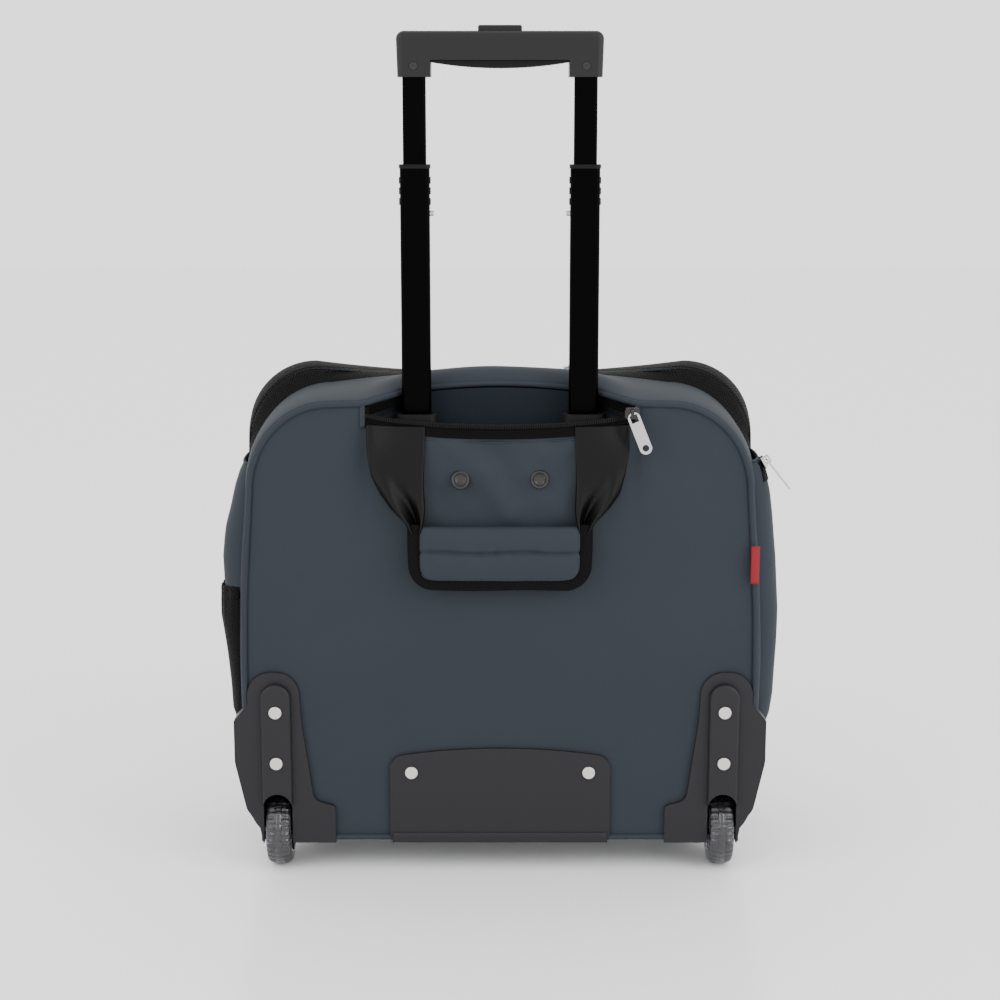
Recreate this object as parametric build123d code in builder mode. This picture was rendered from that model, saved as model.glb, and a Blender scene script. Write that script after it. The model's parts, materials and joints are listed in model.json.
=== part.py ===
from build123d import *

import os
from collections import namedtuple
from math import atan2, cos, pi, sin

# Soft-sided two-wheel rolling laptop case.
# Frame: +Z up, -Y is the rear (handle and wheel side), +Y is the front (pocket side).
# The origin is on the floor, midway across the overall width and depth. Millimetres.

SIDES = (("left", -1), ("right", 1))

# ---- Driving dimensions: the bag ----
REAR_Y = -92.0  # outer face of the rear panel
GUSSET_DEPTH = 80.0  # rear panel to the zip band
ZIP_BAND = 35.0  # full width of the black zip band, both halves together
FRONT_DEPTH = 57.0  # zip band to the front panel
FABRIC = 3.0  # foam-backed fabric laminate
BOTTOM_Z = 27.0  # underside of the bag above the floor
BASE_Z = 58.0  # the front section parts from the fixed base at this height
ZIP_GAP = 0.4  # parting gap between the two halves
FIT = 0.15  # general assembly clearance between rigid pieces

SEAM_Y = REAR_Y + GUSSET_DEPTH
ZIP_Y = SEAM_Y + ZIP_BAND / 2
BAND_FRONT_Y = SEAM_Y + ZIP_BAND
FRONT_Y = BAND_FRONT_Y + FRONT_DEPTH

# An outline across the bag: half widths at the foot and the brow, heights of the
# bottom, the shoulder line and the crown, and the foot and brow corner radii.
Outline = namedtuple("Outline", "y foot brow bottom shoulder crown r_foot r_brow")
REAR = Outline(REAR_Y, 205.0, 196.0, BOTTOM_Z, 380.0, 396.0, 22.0, 70.0)
CREST = Outline(REAR_Y + GUSSET_DEPTH / 2, 209.0, 200.0, BOTTOM_Z, 380.0, 401.0, 22.0, 70.0)
SEAM = Outline(SEAM_Y, 208.0, 203.0, BOTTOM_Z, 384.0, 392.0, 22.0, 68.0)
ZIP = Outline(ZIP_Y, 208.0, 205.0, BOTTOM_Z, 395.0, 388.0, 24.0, 56.0)
BAND_FRONT = Outline(BAND_FRONT_Y, 207.0, 205.0, BOTTOM_Z, 396.0, 387.0, 26.0, 50.0)
FRONT = Outline(FRONT_Y, 202.0, 198.0, BOTTOM_Z + 3.0, 371.0, 373.0, 30.0, 50.0)

# ---- Driving dimensions: handle pocket, boards and sleeve ----
PIPING = 4.4  # width and height of the rear piping
POCKET_HALF = 104.0  # half width of the handle pocket's mouth
POCKET_SILL_Z = 364.0  # lower edge of the pocket's mouth
POCKET_LINTEL_Z = 383.0  # upper edge of the pocket's mouth
POCKET_ROOT_Z = 250.0  # where the slack pocket front starts to lean out
POCKET_LEAN = 13.0  # how far its top edge stands out to the rear
ZIP_TAPE = 8.0  # visible width of a pocket zip tape
ZIP_TAPE_T = 1.6
BOARD_T = 2.0  # polyethylene back board
BOARD_Y = REAR_Y + 32.0  # rear face of the back board
SLEEVE_GAP = 26.0  # room for a laptop
SLEEVE_WALL = 4.0
SLEEVE_HALF = 183.0
SLEEVE_Z = (72.0, 330.0)

# ---- Driving dimensions: telescopic handle ----
TUBE_X = 65.0  # each pair of tubes from the centre line
TUBE_Y = REAR_Y + 20.0
OUTER_TUBE = (27.0, 16.6, 1.2)  # width, depth, wall
MID_TUBE = (22.8, 12.6, 1.2)
UPPER_TUBE = (17.8, 7.8, 1.0)
OUTER_Z = (44.0, 366.0)
MID_TOP_Z = 558.7
MID_LENGTH = 310.0
UPPER_LENGTH = 310.0
SLIDE = 0.2  # clearance of each sliding fit, per side
COLLAR_H = 18.0
COLLAR_LIP = 4.0
PIN_D = 4.0  # retaining pin of the middle tube's guide bush
PIN_DROP = 34.0  # its distance below the middle tube's mouth
PIN_PROUD = 3.0
LUG_PROUD = 0.7
LUG_H = 5.0
LUG_DROPS = (9.0, 17.0, 25.0)
LUG_DEPTH = 5.0

# ---- Driving dimensions: grip ----
GRIP_HALF = 78.2
GRIP_TOP_Z = 660.4
GRIP_FOOT_Z = 626.6  # bottom of the two end blocks
GRIP_UNDER_Z = 639.0  # underside of the bar between the blocks
GRIP_BELLY_Z = 633.2
GRIP_DEPTH = 26.0
GRIP_WALL = 2.6
GRIP_BLOCK = 26.0  # width of an end block
CAVITY_FLOOR_Z = GRIP_UNDER_Z + 2.5
CAVITY_HALF_DEPTH = 9.5
SCREW_Z = 634.7
SCREW_D = 3.0
BUTTON = (33.0, 13.0)
BUTTON_PROUD = 4.4
BUTTON_TRAVEL = 4.0
ROD_D = 2.6
ROD_OFFSET = 4.5  # push rod from its tube's axis, towards the centre, clear of the screw

# ---- Driving dimensions: wheels and corner guards ----
WHEEL_X = 178.0
WHEEL_R = 30.0
WHEEL_W = 20.0
WHEEL_Y = REAR_Y - 12.0 + WHEEL_R
CORE_R = 19.0
AXLE_D = 6.0
RUNNING = 0.05  # radial clearance of the wheel on its axle
HOUSING_GAP = 23.0  # inside width of a wheel housing
HOUSING_WALL = 2.5
HOUSING_R = WHEEL_R + 3.0
HOUSING_FOOT_Z = WHEEL_R - AXLE_D / 2 - 3.0  # the cheeks reach this low, round the axle
GUARD_T = 3.5
GUARD_WRAP = 42.0  # how far a guard runs forward along the side
GUARD_BOSS = 5.0  # height of the raised rail
BOSS_TOP_Z = 157.0
CUTOUT_TOP_Z = 66.4
RIVET_HEAD_D = 10.2
RIVET_HEAD_T = 1.6
RIVET_D = 4.4
GUARD_RIVET_Z = (92.4, 134.6)
KICK_HALF = 88.0
KICK_T = 3.0
KICK_TOP_Z = (88.0, 103.0)  # at the corners, and at the crown of the arch
KICK_RIVET = (70.8, 83.0)
KICK_UNDER = 80.0
KICK_UNDER_RIVET_X = 35.0

# ---- Driving dimensions: carry handle, pockets and trim ----
STRAP_T = 2.2
STRAP_Y = REAR_Y - 15.8  # rear face of the hanging straps
STRAP_TOP_Z = 361.0
STRAP_TOP = (57.6, 97.0)  # inner and outer edge at the top
STRAP_FOOT = (62.5, 74.0)  # and where it enters the padded grip
PAD_HALF = 71.0
PAD_Z = (236.5, 292.0)
PAD_T = 14.0
SIDE_POCKET_Y = (REAR_Y + 12.0, SEAM_Y - 2.0)
SIDE_POCKET_Z = (108.0, 334.0)
SIDE_POCKET_X = 223.5
BOTTLE_TOP_Z = 232.0
BOTTLE_GAP = 9.0  # slack between the bottle pocket and what it lies over
MESH_T = 1.6
FRONT_POCKET_HALF = 168.0
FRONT_POCKET_Z = (66.0, 268.0)
FRONT_POCKET_T = 31.0
FOOT_X = 150.0
FOOT_Y = FRONT_Y - 20.0
SNAP = (30.5, 323.0)  # place of the two snap fasteners, across and up
SNAP_D = 12.0
FRONT_ZIP_Z = 222.0
MAIN_SLIDERS = (("main_left", -6.0, 46.0), ("main_right", 57.0, 77.0))  # at rest, and furthest out
MAIN_SLIDER_LIFT = 1.3  # slider's underside above the outline that its teeth follow
PULL_T = 1.6
PULL_W = 9.6
EYE_W = 5.8
EYE_L = 6.0
SLIDER = (11.0, 8.6)
SLIDER_T = 2.4
LOOP_W = 2.4
LOOP_HALF = 2.0
LOOP_H = 3.0
LOOP_T = 1.2


def facing_rear(y):
    """The plane at depth y whose sketch x is X and whose sketch y is Z; it faces the rear."""
    return Plane(origin=(0, y, 0), x_dir=(1, 0, 0), z_dir=(0, -1, 0))


def side_on(x):
    """The plane at x whose sketch x is Y and whose sketch y is Z; it faces +X."""
    return Plane(origin=(x, 0, 0), x_dir=(0, 1, 0), z_dir=(1, 0, 0))


def save(part, name):
    part.label = name
    export_step(part, f"parts/{name}.step")


def outline_at(y):
    """The bag's outline at depth y in the rear section."""
    near, far = (REAR, CREST) if y <= CREST.y else (CREST, SEAM)
    share = (y - near.y) / (far.y - near.y)
    return Outline(*(a + (b - a) * share for a, b in zip(near, far)))


def outline_face(o, inset=0.0):
    """One outline of the bag as a face, drawn in by inset."""
    brow, foot = o.brow - inset, o.foot - inset
    bottom, shoulder, crown = o.bottom + inset, o.shoulder - inset, o.crown - inset
    with BuildSketch(facing_rear(o.y)) as sketch:
        with BuildLine():
            Line((-foot, bottom), (foot, bottom))
            Line((foot, bottom), (brow, shoulder))
            ThreePointArc((brow, shoulder), (0, crown), (-brow, shoulder))
            Line((-brow, shoulder), (-foot, bottom))
        make_face()
        fillet(sketch.vertices().group_by(Axis.Y)[0], o.r_foot - inset)
        fillet(sketch.vertices().group_by(Axis.Y)[-1], o.r_brow - inset)
    return sketch.sketch


def bag_ring(outlines, wall=FABRIC):
    """The fabric wall between outlines, open at both ends."""
    with BuildPart() as ring:
        loft([outline_face(o) for o in outlines], ruled=True)
        loft([outline_face(o, wall) for o in outlines], ruled=True, mode=Mode.SUBTRACT)
    return ring.part


def solid_bag(outlines, inset=0.0):
    """The whole volume inside outlines, used for trimming what lies against the bag."""
    with BuildPart() as whole:
        loft([outline_face(o, inset) for o in outlines], ruled=True)
    return whole.part


REAR_SECTION = solid_bag((REAR, CREST, SEAM))


def handle_gap():
    """What the open handle pocket takes out of the bag's rear panel, piping and roof."""
    low, high = POCKET_SILL_Z, CREST.crown + 5.0
    rear = REAR_Y - 10.0
    middle = Pos(0, (rear + BOARD_Y) / 2, (low + high) / 2)
    return middle * Box(2 * POCKET_HALF, BOARD_Y - rear, high - low, mode=Mode.PRIVATE)


def housing_envelope(side):
    """The space that a wheel housing and its wheel take out of the bag's corner."""
    half = HOUSING_GAP / 2 + HOUSING_WALL + FIT
    front = WHEEL_Y + HOUSING_R + HOUSING_WALL + FIT
    top = WHEEL_R + HOUSING_R + HOUSING_WALL + FIT
    with BuildPart(mode=Mode.PRIVATE) as envelope:
        with BuildSketch(Plane.XY):
            with Locations((side * WHEEL_X, (REAR_Y - 20 + front) / 2)):
                Rectangle(2 * half, front - (REAR_Y - 20))
        extrude(amount=top)
    return envelope.part


# ---- Soft shell: rear half ----
def rear_gusset():
    with BuildPart() as gusset:
        add(bag_ring((REAR, CREST, SEAM)))
        add(handle_gap(), mode=Mode.SUBTRACT)
        for _, side in SIDES:
            add(housing_envelope(side), mode=Mode.SUBTRACT)
    return gusset.part


def rear_panel():
    with BuildPart() as panel:
        extrude(outline_face(REAR, FABRIC), amount=-FABRIC)
        with BuildSketch(facing_rear(REAR_Y)):
            with Locations((0, (POCKET_ROOT_Z + REAR.crown) / 2)):
                Rectangle(2 * POCKET_HALF, REAR.crown - POCKET_ROOT_Z)
        extrude(amount=-FABRIC, mode=Mode.SUBTRACT)
        for _, side in SIDES:
            add(housing_envelope(side), mode=Mode.SUBTRACT)
        add(rivet_holes(), mode=Mode.SUBTRACT)
    return panel.part


def rear_piping():
    with BuildPart() as piping:
        extrude(outline_face(REAR), amount=PIPING)
        extrude(outline_face(REAR, PIPING), amount=PIPING, mode=Mode.SUBTRACT)
        fillet(piping.faces().sort_by(Axis.Y)[0].edges(), PIPING * 0.45)
        for _, side in SIDES:
            add(guard_solid(side), mode=Mode.SUBTRACT)
            add(housing_envelope(side), mode=Mode.SUBTRACT)
        add(kick_solid(), mode=Mode.SUBTRACT)
        add(handle_gap(), mode=Mode.SUBTRACT)
    return piping.part


def pocket_front_solid(inset):
    """The wedge under the slack pocket front, drawn in by inset on every side but its top."""
    root = REAR_Y + FABRIC
    with BuildPart(mode=Mode.PRIVATE) as wedge:
        with BuildSketch(side_on(-POCKET_HALF + inset)):
            with BuildLine():
                Polyline(
                    (root, POCKET_ROOT_Z + inset),
                    (REAR_Y - POCKET_LEAN + inset, POCKET_SILL_Z),
                    (root, POCKET_SILL_Z),
                    close=True,
                )
            make_face()
        extrude(amount=2 * (POCKET_HALF - inset))
    return wedge.part


def pocket_front():
    """Slack front of the handle pocket: it leans out, with the two cheeks that join it on."""
    with BuildPart() as front:
        add(pocket_front_solid(0.0))
        add(pocket_front_solid(FABRIC), mode=Mode.SUBTRACT)
    return front.part


def pocket_zip_tapes():
    """Upper and lower tape of the open handle-pocket zip."""
    lower_y = REAR_Y - POCKET_LEAN + FABRIC / 2
    upper_y = BOARD_Y - ZIP_TAPE_T / 2
    upper_z = POCKET_LINTEL_Z - ZIP_TAPE / 2
    half = POCKET_HALF - ZIP_TAPE_T / 2
    with BuildPart() as tapes:
        with Locations((0, lower_y, POCKET_SILL_Z + ZIP_TAPE / 2)):
            Box(2 * POCKET_HALF, ZIP_TAPE_T, ZIP_TAPE)
        with Locations((0, upper_y, upper_z)):
            Box(2 * POCKET_HALF, ZIP_TAPE_T, ZIP_TAPE)
        with Locations((-half, (REAR_Y + BOARD_Y) / 2, upper_z), (half, (REAR_Y + BOARD_Y) / 2, upper_z)):
            Box(ZIP_TAPE_T, BOARD_Y - REAR_Y, ZIP_TAPE)
    return tapes.part


def snap_buttons():
    """Two snap caps on the pocket front, turned to its lean."""
    reach = POCKET_LEAN + FABRIC
    lean = atan2(reach, POCKET_SILL_Z - POCKET_ROOT_Z)
    share = (SNAP[1] - POCKET_ROOT_Z) / (POCKET_SILL_Z - POCKET_ROOT_Z)
    face_y = REAR_Y + FABRIC - reach * share
    with BuildPart() as snaps:
        for _, side in SIDES:
            place = Plane(
                origin=(side * SNAP[0], face_y, SNAP[1]),
                x_dir=(1, 0, 0),
                z_dir=(0, -cos(lean), -sin(lean)),
            )
            with BuildSketch(place):
                Circle(SNAP_D / 2)
            extrude(amount=2.4)
        rims = snaps.faces().group_by(Axis.Y)[0].edges().filter_by(GeomType.CIRCLE)
        fillet(rims, 0.8)
    return snaps.part


def back_board():
    """Stiff board between the handle pocket and the main compartment."""
    with BuildPart() as board:
        extrude(outline_face(outline_at(BOARD_Y), FABRIC + 0.8), amount=-BOARD_T)
        for _, side in SIDES:
            add(housing_envelope(side), mode=Mode.SUBTRACT)
    return board.part


def laptop_sleeve():
    """Padded pocket on the front of the back board, open at the top."""
    low, high = SLEEVE_Z
    back = BOARD_Y + BOARD_T
    depth = SLEEVE_GAP + SLEEVE_WALL
    with BuildPart() as sleeve:
        with Locations((0, back + depth / 2, (low + high) / 2)):
            Box(2 * SLEEVE_HALF, depth, high - low)
        with Locations((0, back + SLEEVE_GAP / 2, (low + high) / 2 + SLEEVE_WALL)):
            Box(2 * (SLEEVE_HALF - SLEEVE_WALL), SLEEVE_GAP, high - low, mode=Mode.SUBTRACT)
    return sleeve.part


def side_pocket_block(side, inset, reach=SIDE_POCKET_X):
    """A side pocket's bulge out to reach as a solid, drawn in by inset, rooted in the bag."""
    rear, front = SIDE_POCKET_Y
    low, high = SIDE_POCKET_Z
    root = REAR.brow - 20.0
    brow = reach - 8.0
    with BuildPart(mode=Mode.PRIVATE) as block:
        with BuildSketch(facing_rear(rear + inset)):
            with BuildLine():
                Spline(
                    (side * (REAR.brow + 2.0 - inset), high - inset),
                    (side * (brow - inset), high - 26.0 - inset),
                    (side * (reach - inset), (low + high) / 2),
                    (side * (brow - inset), low + 18.0 + inset),
                    (side * (REAR.foot - 4.0 - inset), low + inset),
                )
                Line(
                    (side * (REAR.foot - 4.0 - inset), low + inset),
                    (side * root, low + inset),
                )
                Line((side * root, low + inset), (side * root, high - inset))
                Line((side * root, high - inset), (side * (REAR.brow + 2.0 - inset), high - inset))
            make_face()
        extrude(amount=-(front - rear - 2 * inset))
        fillet(block.faces().group_by(SortBy.AREA)[-3:][0].edges().filter_by(GeomType.BSPLINE), 8.0 - inset)
    return block.part


def side_pocket(side):
    """Bellows pocket on a side, trimmed to the gusset; the left one is slimmer."""
    reach = SIDE_POCKET_X if side > 0 else SIDE_POCKET_X - BOTTLE_GAP - MESH_T
    with BuildPart() as pocket:
        add(side_pocket_block(side, 0.0, reach))
        add(side_pocket_block(side, FABRIC, reach), mode=Mode.SUBTRACT)
        add(REAR_SECTION, mode=Mode.SUBTRACT)
        add(guard_solid(side), mode=Mode.SUBTRACT)
    return pocket.part


def bottle_pocket():
    """Elastic open-topped pocket over the lower part of the left-hand side."""
    rear, front = SIDE_POCKET_Y
    low = SIDE_POCKET_Z[0] + 4.0
    middle = Pos(-SIDE_POCKET_X, (rear + front) / 2, (low + BOTTLE_TOP_Z) / 2)
    with BuildPart() as mesh:
        add(side_pocket_block(-1, 0.0))
        add(side_pocket_block(-1, MESH_T), mode=Mode.SUBTRACT)
        add(middle * Box(60.0, 100.0, BOTTLE_TOP_Z - low, mode=Mode.PRIVATE), mode=Mode.INTERSECT)
        add(side_pocket(-1), mode=Mode.SUBTRACT)
        add(REAR_SECTION, mode=Mode.SUBTRACT)
        add(guard_solid(-1), mode=Mode.SUBTRACT)
    return mesh.part


def side_label():
    """Small woven tab sewn into the right-hand piping."""
    with BuildPart() as tab:
        with Locations((REAR.brow + 3.0, REAR_Y - PIPING - 0.7, 254.0)):
            Box(6.0, 1.2, 32.0)
    return tab.part


# ---- Corner guards, kick plate, rivets ----
def guard_profile(side):
    """Rear view of a corner guard: a rounded tongue, a notch, and a foot towards the middle."""
    points = (
        (132.0, 24.0),
        (132.0, 55.0),
        (149.0, 59.5),
        (158.0, 125.0),
        (160.5, 166.0),
        (200.5, 166.0),
        (200.5, 140.0),
        (211.8, 126.0),
        (211.8, 92.0),
        (203.0, 52.0),
        (193.0, 38.0),
        (190.5, 24.0),
    )
    radii = {1: 4.0, 2: 9.0, 3: 60.0, 4: 18.0, 5: 19.0, 6: 3.0, 7: 2.0, 8: 30.0, 9: 10.0}
    with BuildSketch(facing_rear(REAR_Y - GUARD_T)) as sketch:
        with BuildLine():
            Polyline([(side * x, z) for x, z in points], close=True)
        make_face()
        for index, radius in radii.items():
            x, z = points[index]
            corner = sketch.vertices().sort_by_distance(Vector(side * x, z, 0))[0]
            fillet(corner, radius)
    return sketch.sketch


def guard_solid(side):
    """The guard's full volume, before the bag is taken out of it."""
    with BuildPart(mode=Mode.PRIVATE) as block:
        extrude(guard_profile(side), amount=-(GUARD_T + GUARD_WRAP))
    return block.part


def corner_guard(side):
    rail_foot = CUTOUT_TOP_Z - 20.0
    rail_half = 12.0
    with BuildPart() as guard:
        extrude(guard_profile(side), amount=-(GUARD_T + GUARD_WRAP))
        add(REAR_SECTION, mode=Mode.SUBTRACT)
        with BuildSketch(facing_rear(REAR_Y - GUARD_T)):
            with Locations((side * WHEEL_X, (rail_foot + BOSS_TOP_Z) / 2)):
                SlotCenterToCenter(BOSS_TOP_Z - rail_foot - 2 * rail_half, 2 * rail_half, rotation=90)
        extrude(amount=GUARD_BOSS)
        fillet(guard.faces().sort_by(Axis.Y)[0].edges(), 2.4)
        with BuildSketch(facing_rear(REAR_Y - GUARD_T - GUARD_BOSS)):
            with Locations((side * WHEEL_X, CUTOUT_TOP_Z / 2)):
                Rectangle(HOUSING_GAP, CUTOUT_TOP_Z - HOUSING_GAP)
            with Locations((side * WHEEL_X, CUTOUT_TOP_Z - HOUSING_GAP / 2)):
                Circle(HOUSING_GAP / 2)
            with Locations((side * WHEEL_X, 20.0)):
                Rectangle(HOUSING_GAP, 20.0)
        extrude(amount=-GUARD_BOSS - GUARD_T - FABRIC, mode=Mode.SUBTRACT)
        add(housing_envelope(side).intersect(REAR_SLAB), mode=Mode.SUBTRACT)
        add(rivet_holes(), mode=Mode.SUBTRACT)
    return guard.part


# Everything forward of the rear panel's outer face, used to keep a cut off the rear faces.
REAR_SLAB = Pos(0, REAR_Y + 250.0, 150.0) * Box(800.0, 500.0, 500.0)


def rivet_spots():
    """Centre of each rear-facing rivet's seat: x, seat y, z."""
    spots = [
        (side * WHEEL_X, REAR_Y - GUARD_T - GUARD_BOSS, z)
        for _, side in SIDES
        for z in GUARD_RIVET_Z
    ]
    spots += [(side * KICK_RIVET[0], REAR_Y - KICK_T, KICK_RIVET[1]) for _, side in SIDES]
    return spots


def rivet_holes():
    """Clearance for every rear-facing rivet shank."""
    with BuildPart(mode=Mode.PRIVATE) as holes:
        for x, seat, z in rivet_spots():
            with BuildSketch(facing_rear(seat)):
                with Locations((x, z)):
                    Circle(RIVET_D / 2)
            extrude(amount=seat - (REAR_Y + FABRIC))
    return holes.part


def rivet(x, seat, z):
    """One rivet facing the rear: domed head, shank and inside washer."""
    tail = REAR_Y + FABRIC
    with BuildPart() as body:
        with BuildSketch(facing_rear(seat)):
            with Locations((x, z)):
                Circle(RIVET_HEAD_D / 2)
        extrude(amount=RIVET_HEAD_T)
        fillet(body.faces().sort_by(Axis.Y)[0].edges(), 0.7)
        with BuildSketch(facing_rear(seat)):
            with Locations((x, z)):
                Circle(RIVET_D / 2)
        extrude(amount=seat - tail)
        with BuildSketch(facing_rear(tail)):
            with Locations((x, z)):
                Circle(RIVET_HEAD_D / 2 - 0.5)
        extrude(amount=-1.2)
    return body.part


def under_rivet(x, y):
    """One rivet under the kick plate's foot, head down."""
    with BuildPart() as body:
        with BuildSketch(Plane.XY.offset(BOTTOM_Z - KICK_T - RIVET_HEAD_T)):
            with Locations((x, y)):
                Circle(RIVET_HEAD_D / 2)
        extrude(amount=RIVET_HEAD_T)
        with BuildSketch(Plane.XY.offset(BOTTOM_Z - KICK_T)):
            with Locations((x, y)):
                Circle(RIVET_D / 2)
        extrude(amount=KICK_T)
        fillet(body.faces().sort_by(Axis.Z)[0].edges(), 0.7)
    return body.part


def rivets():
    under_y = REAR_Y + KICK_UNDER - 18.0
    with BuildPart() as group:
        for x, seat, z in rivet_spots():
            add(rivet(x, seat, z))
        for _, side in SIDES:
            add(under_rivet(side * KICK_UNDER_RIVET_X, under_y))
    return group.part


def kick_solid():
    """The kick plate's rear face as a block down to its foot."""
    low, crown = KICK_TOP_Z
    with BuildPart(mode=Mode.PRIVATE) as block:
        with BuildSketch(facing_rear(REAR_Y - KICK_T)) as face:
            with BuildLine():
                Line((-KICK_HALF, BOTTOM_Z - KICK_T), (KICK_HALF, BOTTOM_Z - KICK_T))
                Line((KICK_HALF, BOTTOM_Z - KICK_T), (KICK_HALF, low + 8.0))
                ThreePointArc((KICK_HALF, low + 8.0), (0, crown), (-KICK_HALF, low + 8.0))
                Line((-KICK_HALF, low + 8.0), (-KICK_HALF, BOTTOM_Z - KICK_T))
            make_face()
            fillet(face.vertices().group_by(Axis.Y)[-1], 12.0)
        extrude(amount=-(KICK_T + KICK_UNDER))
    return block.part


def kick_plate():
    """Scuff plate: up the rear face, round the bottom edge and forward under the bag."""
    with BuildPart() as plate:
        add(kick_solid())
        edge = plate.edges().filter_by(Axis.X).sort_by(lambda e: e.center().Y + e.center().Z)[0]
        fillet(edge, KICK_T + 3.0)
        add(REAR_SECTION, mode=Mode.SUBTRACT)
        add(rivet_holes(), mode=Mode.SUBTRACT)
        with BuildSketch(Plane.XY.offset(BOTTOM_Z - KICK_T)):
            for _, side in SIDES:
                with Locations((side * KICK_UNDER_RIVET_X, REAR_Y + KICK_UNDER - 18.0)):
                    Circle(RIVET_D / 2)
        extrude(amount=KICK_T, mode=Mode.SUBTRACT)
    return plate.part


# ---- Wheels ----
def housing_profile(radius, rear, low):
    """Side view of a housing or its hollow: round over the wheel and square to the rear."""
    top, front = WHEEL_R + radius, WHEEL_Y + radius
    slant = radius * sin(pi / 4)
    with BuildSketch(mode=Mode.PRIVATE) as profile:
        with BuildLine():
            Line((rear, low), (rear, top))
            Line((rear, top), (WHEEL_Y, top))
            ThreePointArc((WHEEL_Y, top), (WHEEL_Y + slant, WHEEL_R + slant), (front, WHEEL_R))
            Line((front, WHEEL_R), (front, low))
            Line((front, low), (rear, low))
        make_face()
    return profile.sketch


def wheel_housing(side):
    """Moulded arch over one wheel: two cheeks that carry the axle, open below and behind."""
    half = HOUSING_GAP / 2 + HOUSING_WALL
    with BuildPart() as housing:
        with BuildSketch(side_on(side * WHEEL_X - half)):
            add(housing_profile(HOUSING_R + HOUSING_WALL, REAR_Y, HOUSING_FOOT_Z))
        extrude(amount=2 * half)
        with BuildSketch(side_on(side * WHEEL_X - HOUSING_GAP / 2)):
            add(housing_profile(HOUSING_R, REAR_Y - 1.0, HOUSING_FOOT_Z - 1.0))
        extrude(amount=HOUSING_GAP, mode=Mode.SUBTRACT)
        with BuildSketch(side_on(side * WHEEL_X - half)):
            with Locations((WHEEL_Y, WHEEL_R)):
                Circle(AXLE_D / 2)
        extrude(amount=2 * half, mode=Mode.SUBTRACT)
    return housing.part


def wheel_axle(side):
    """Steel axle pin with a flat head, through both cheeks."""
    half = HOUSING_GAP / 2 + HOUSING_WALL
    with BuildPart() as axle:
        with BuildSketch(side_on(side * WHEEL_X - half)):
            with Locations((WHEEL_Y, WHEEL_R)):
                Circle(AXLE_D / 2)
        extrude(amount=2 * half)
    return axle.part


def wheel_core(side):
    """Moulded wheel centre: hub, web with round windows, and rim."""
    hub_half = HOUSING_GAP / 2 - 0.5
    with BuildPart() as core:
        with BuildSketch(side_on(side * WHEEL_X - hub_half)):
            with Locations((WHEEL_Y, WHEEL_R)):
                Circle(7.0)
        extrude(amount=2 * hub_half)
        with BuildSketch(side_on(side * WHEEL_X - 2.5)):
            with Locations((WHEEL_Y, WHEEL_R)):
                Circle(CORE_R - 2.0)
        extrude(amount=5.0)
        with BuildSketch(side_on(side * WHEEL_X - 7.5)):
            with Locations((WHEEL_Y, WHEEL_R)):
                Circle(CORE_R)
                Circle(CORE_R - 3.5, mode=Mode.SUBTRACT)
        extrude(amount=15.0)
        with BuildSketch(side_on(side * WHEEL_X - hub_half)):
            with Locations((WHEEL_Y, WHEEL_R)):
                Circle(AXLE_D / 2 + RUNNING)
                with PolarLocations(11.2, 5):
                    Circle(3.0)
        extrude(amount=2 * hub_half, mode=Mode.SUBTRACT)
    return core.part


def wheel_tyre(side):
    """Clear tyre moulded over the rim, with a rounded tread and five grooves round it."""
    groove = 0.5
    with BuildPart() as tyre:
        with BuildSketch(side_on(side * WHEEL_X - WHEEL_W / 2)):
            with Locations((WHEEL_Y, WHEEL_R)):
                Circle(WHEEL_R)
                Circle(CORE_R, mode=Mode.SUBTRACT)
        extrude(amount=WHEEL_W)
        outer = tyre.edges().filter_by(GeomType.CIRCLE).group_by(SortBy.RADIUS)[-1]
        fillet(outer, 6.5)
        with BuildSketch(side_on(side * WHEEL_X - groove)):
            with Locations((WHEEL_Y, WHEEL_R)):
                Circle(WHEEL_R + 1.0)
                Circle(WHEEL_R - groove, mode=Mode.SUBTRACT)
        extrude(amount=2 * groove, mode=Mode.SUBTRACT)
    return tyre.part


# ---- Telescopic handle ----
def tube_sketch(plane, size, x, extra=0.0):
    """A rounded rectangular tube section on plane, grown by extra on every side."""
    width, depth = size[0] + 2 * extra, size[1] + 2 * extra
    with BuildSketch(plane) as section:
        with Locations((x, TUBE_Y)):
            RectangleRounded(width, depth, depth * 0.3)
    return section.sketch


def bore_size(tube):
    """Inside width and depth of a tube."""
    width, depth, wall = tube
    return (width - 2 * wall, depth - 2 * wall)


def hollow_tube(tube, side, low, high):
    with BuildPart() as body:
        extrude(tube_sketch(Plane.XY.offset(low), tube, side * TUBE_X), amount=high - low)
        extrude(tube_sketch(Plane.XY.offset(low), bore_size(tube), side * TUBE_X), amount=high - low, mode=Mode.SUBTRACT)
    return body.part


def inner_slot(side, low, high, width, reach):
    """A slot cut from a tube's axis towards the centre line, for the pin to pass through."""
    x = side * (TUBE_X - reach / 2)
    return Pos(x, TUBE_Y, (low + high) / 2) * Box(reach, width, high - low, mode=Mode.PRIVATE)


PIN_Z = MID_TOP_Z - PIN_DROP
MID_Z = (MID_TOP_Z - MID_LENGTH, MID_TOP_Z)
UPPER_TOP_Z = CAVITY_FLOOR_Z - 1.5
UPPER_Z = (UPPER_TOP_Z - UPPER_LENGTH, UPPER_TOP_Z)
COLLAR_Z = (OUTER_Z[1] - COLLAR_H + COLLAR_LIP, OUTER_Z[1] + COLLAR_LIP)


def outer_tube(side):
    """Fixed outer tube, with a relief slot down its inner wall for the passing pin."""
    with BuildPart() as tube:
        add(hollow_tube(OUTER_TUBE, side, *OUTER_Z))
        slot = inner_slot(side, OUTER_Z[1] - 230.0, OUTER_Z[1], PIN_D + 1.2, OUTER_TUBE[0])
        add(slot, mode=Mode.SUBTRACT)
    return tube.part


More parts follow.
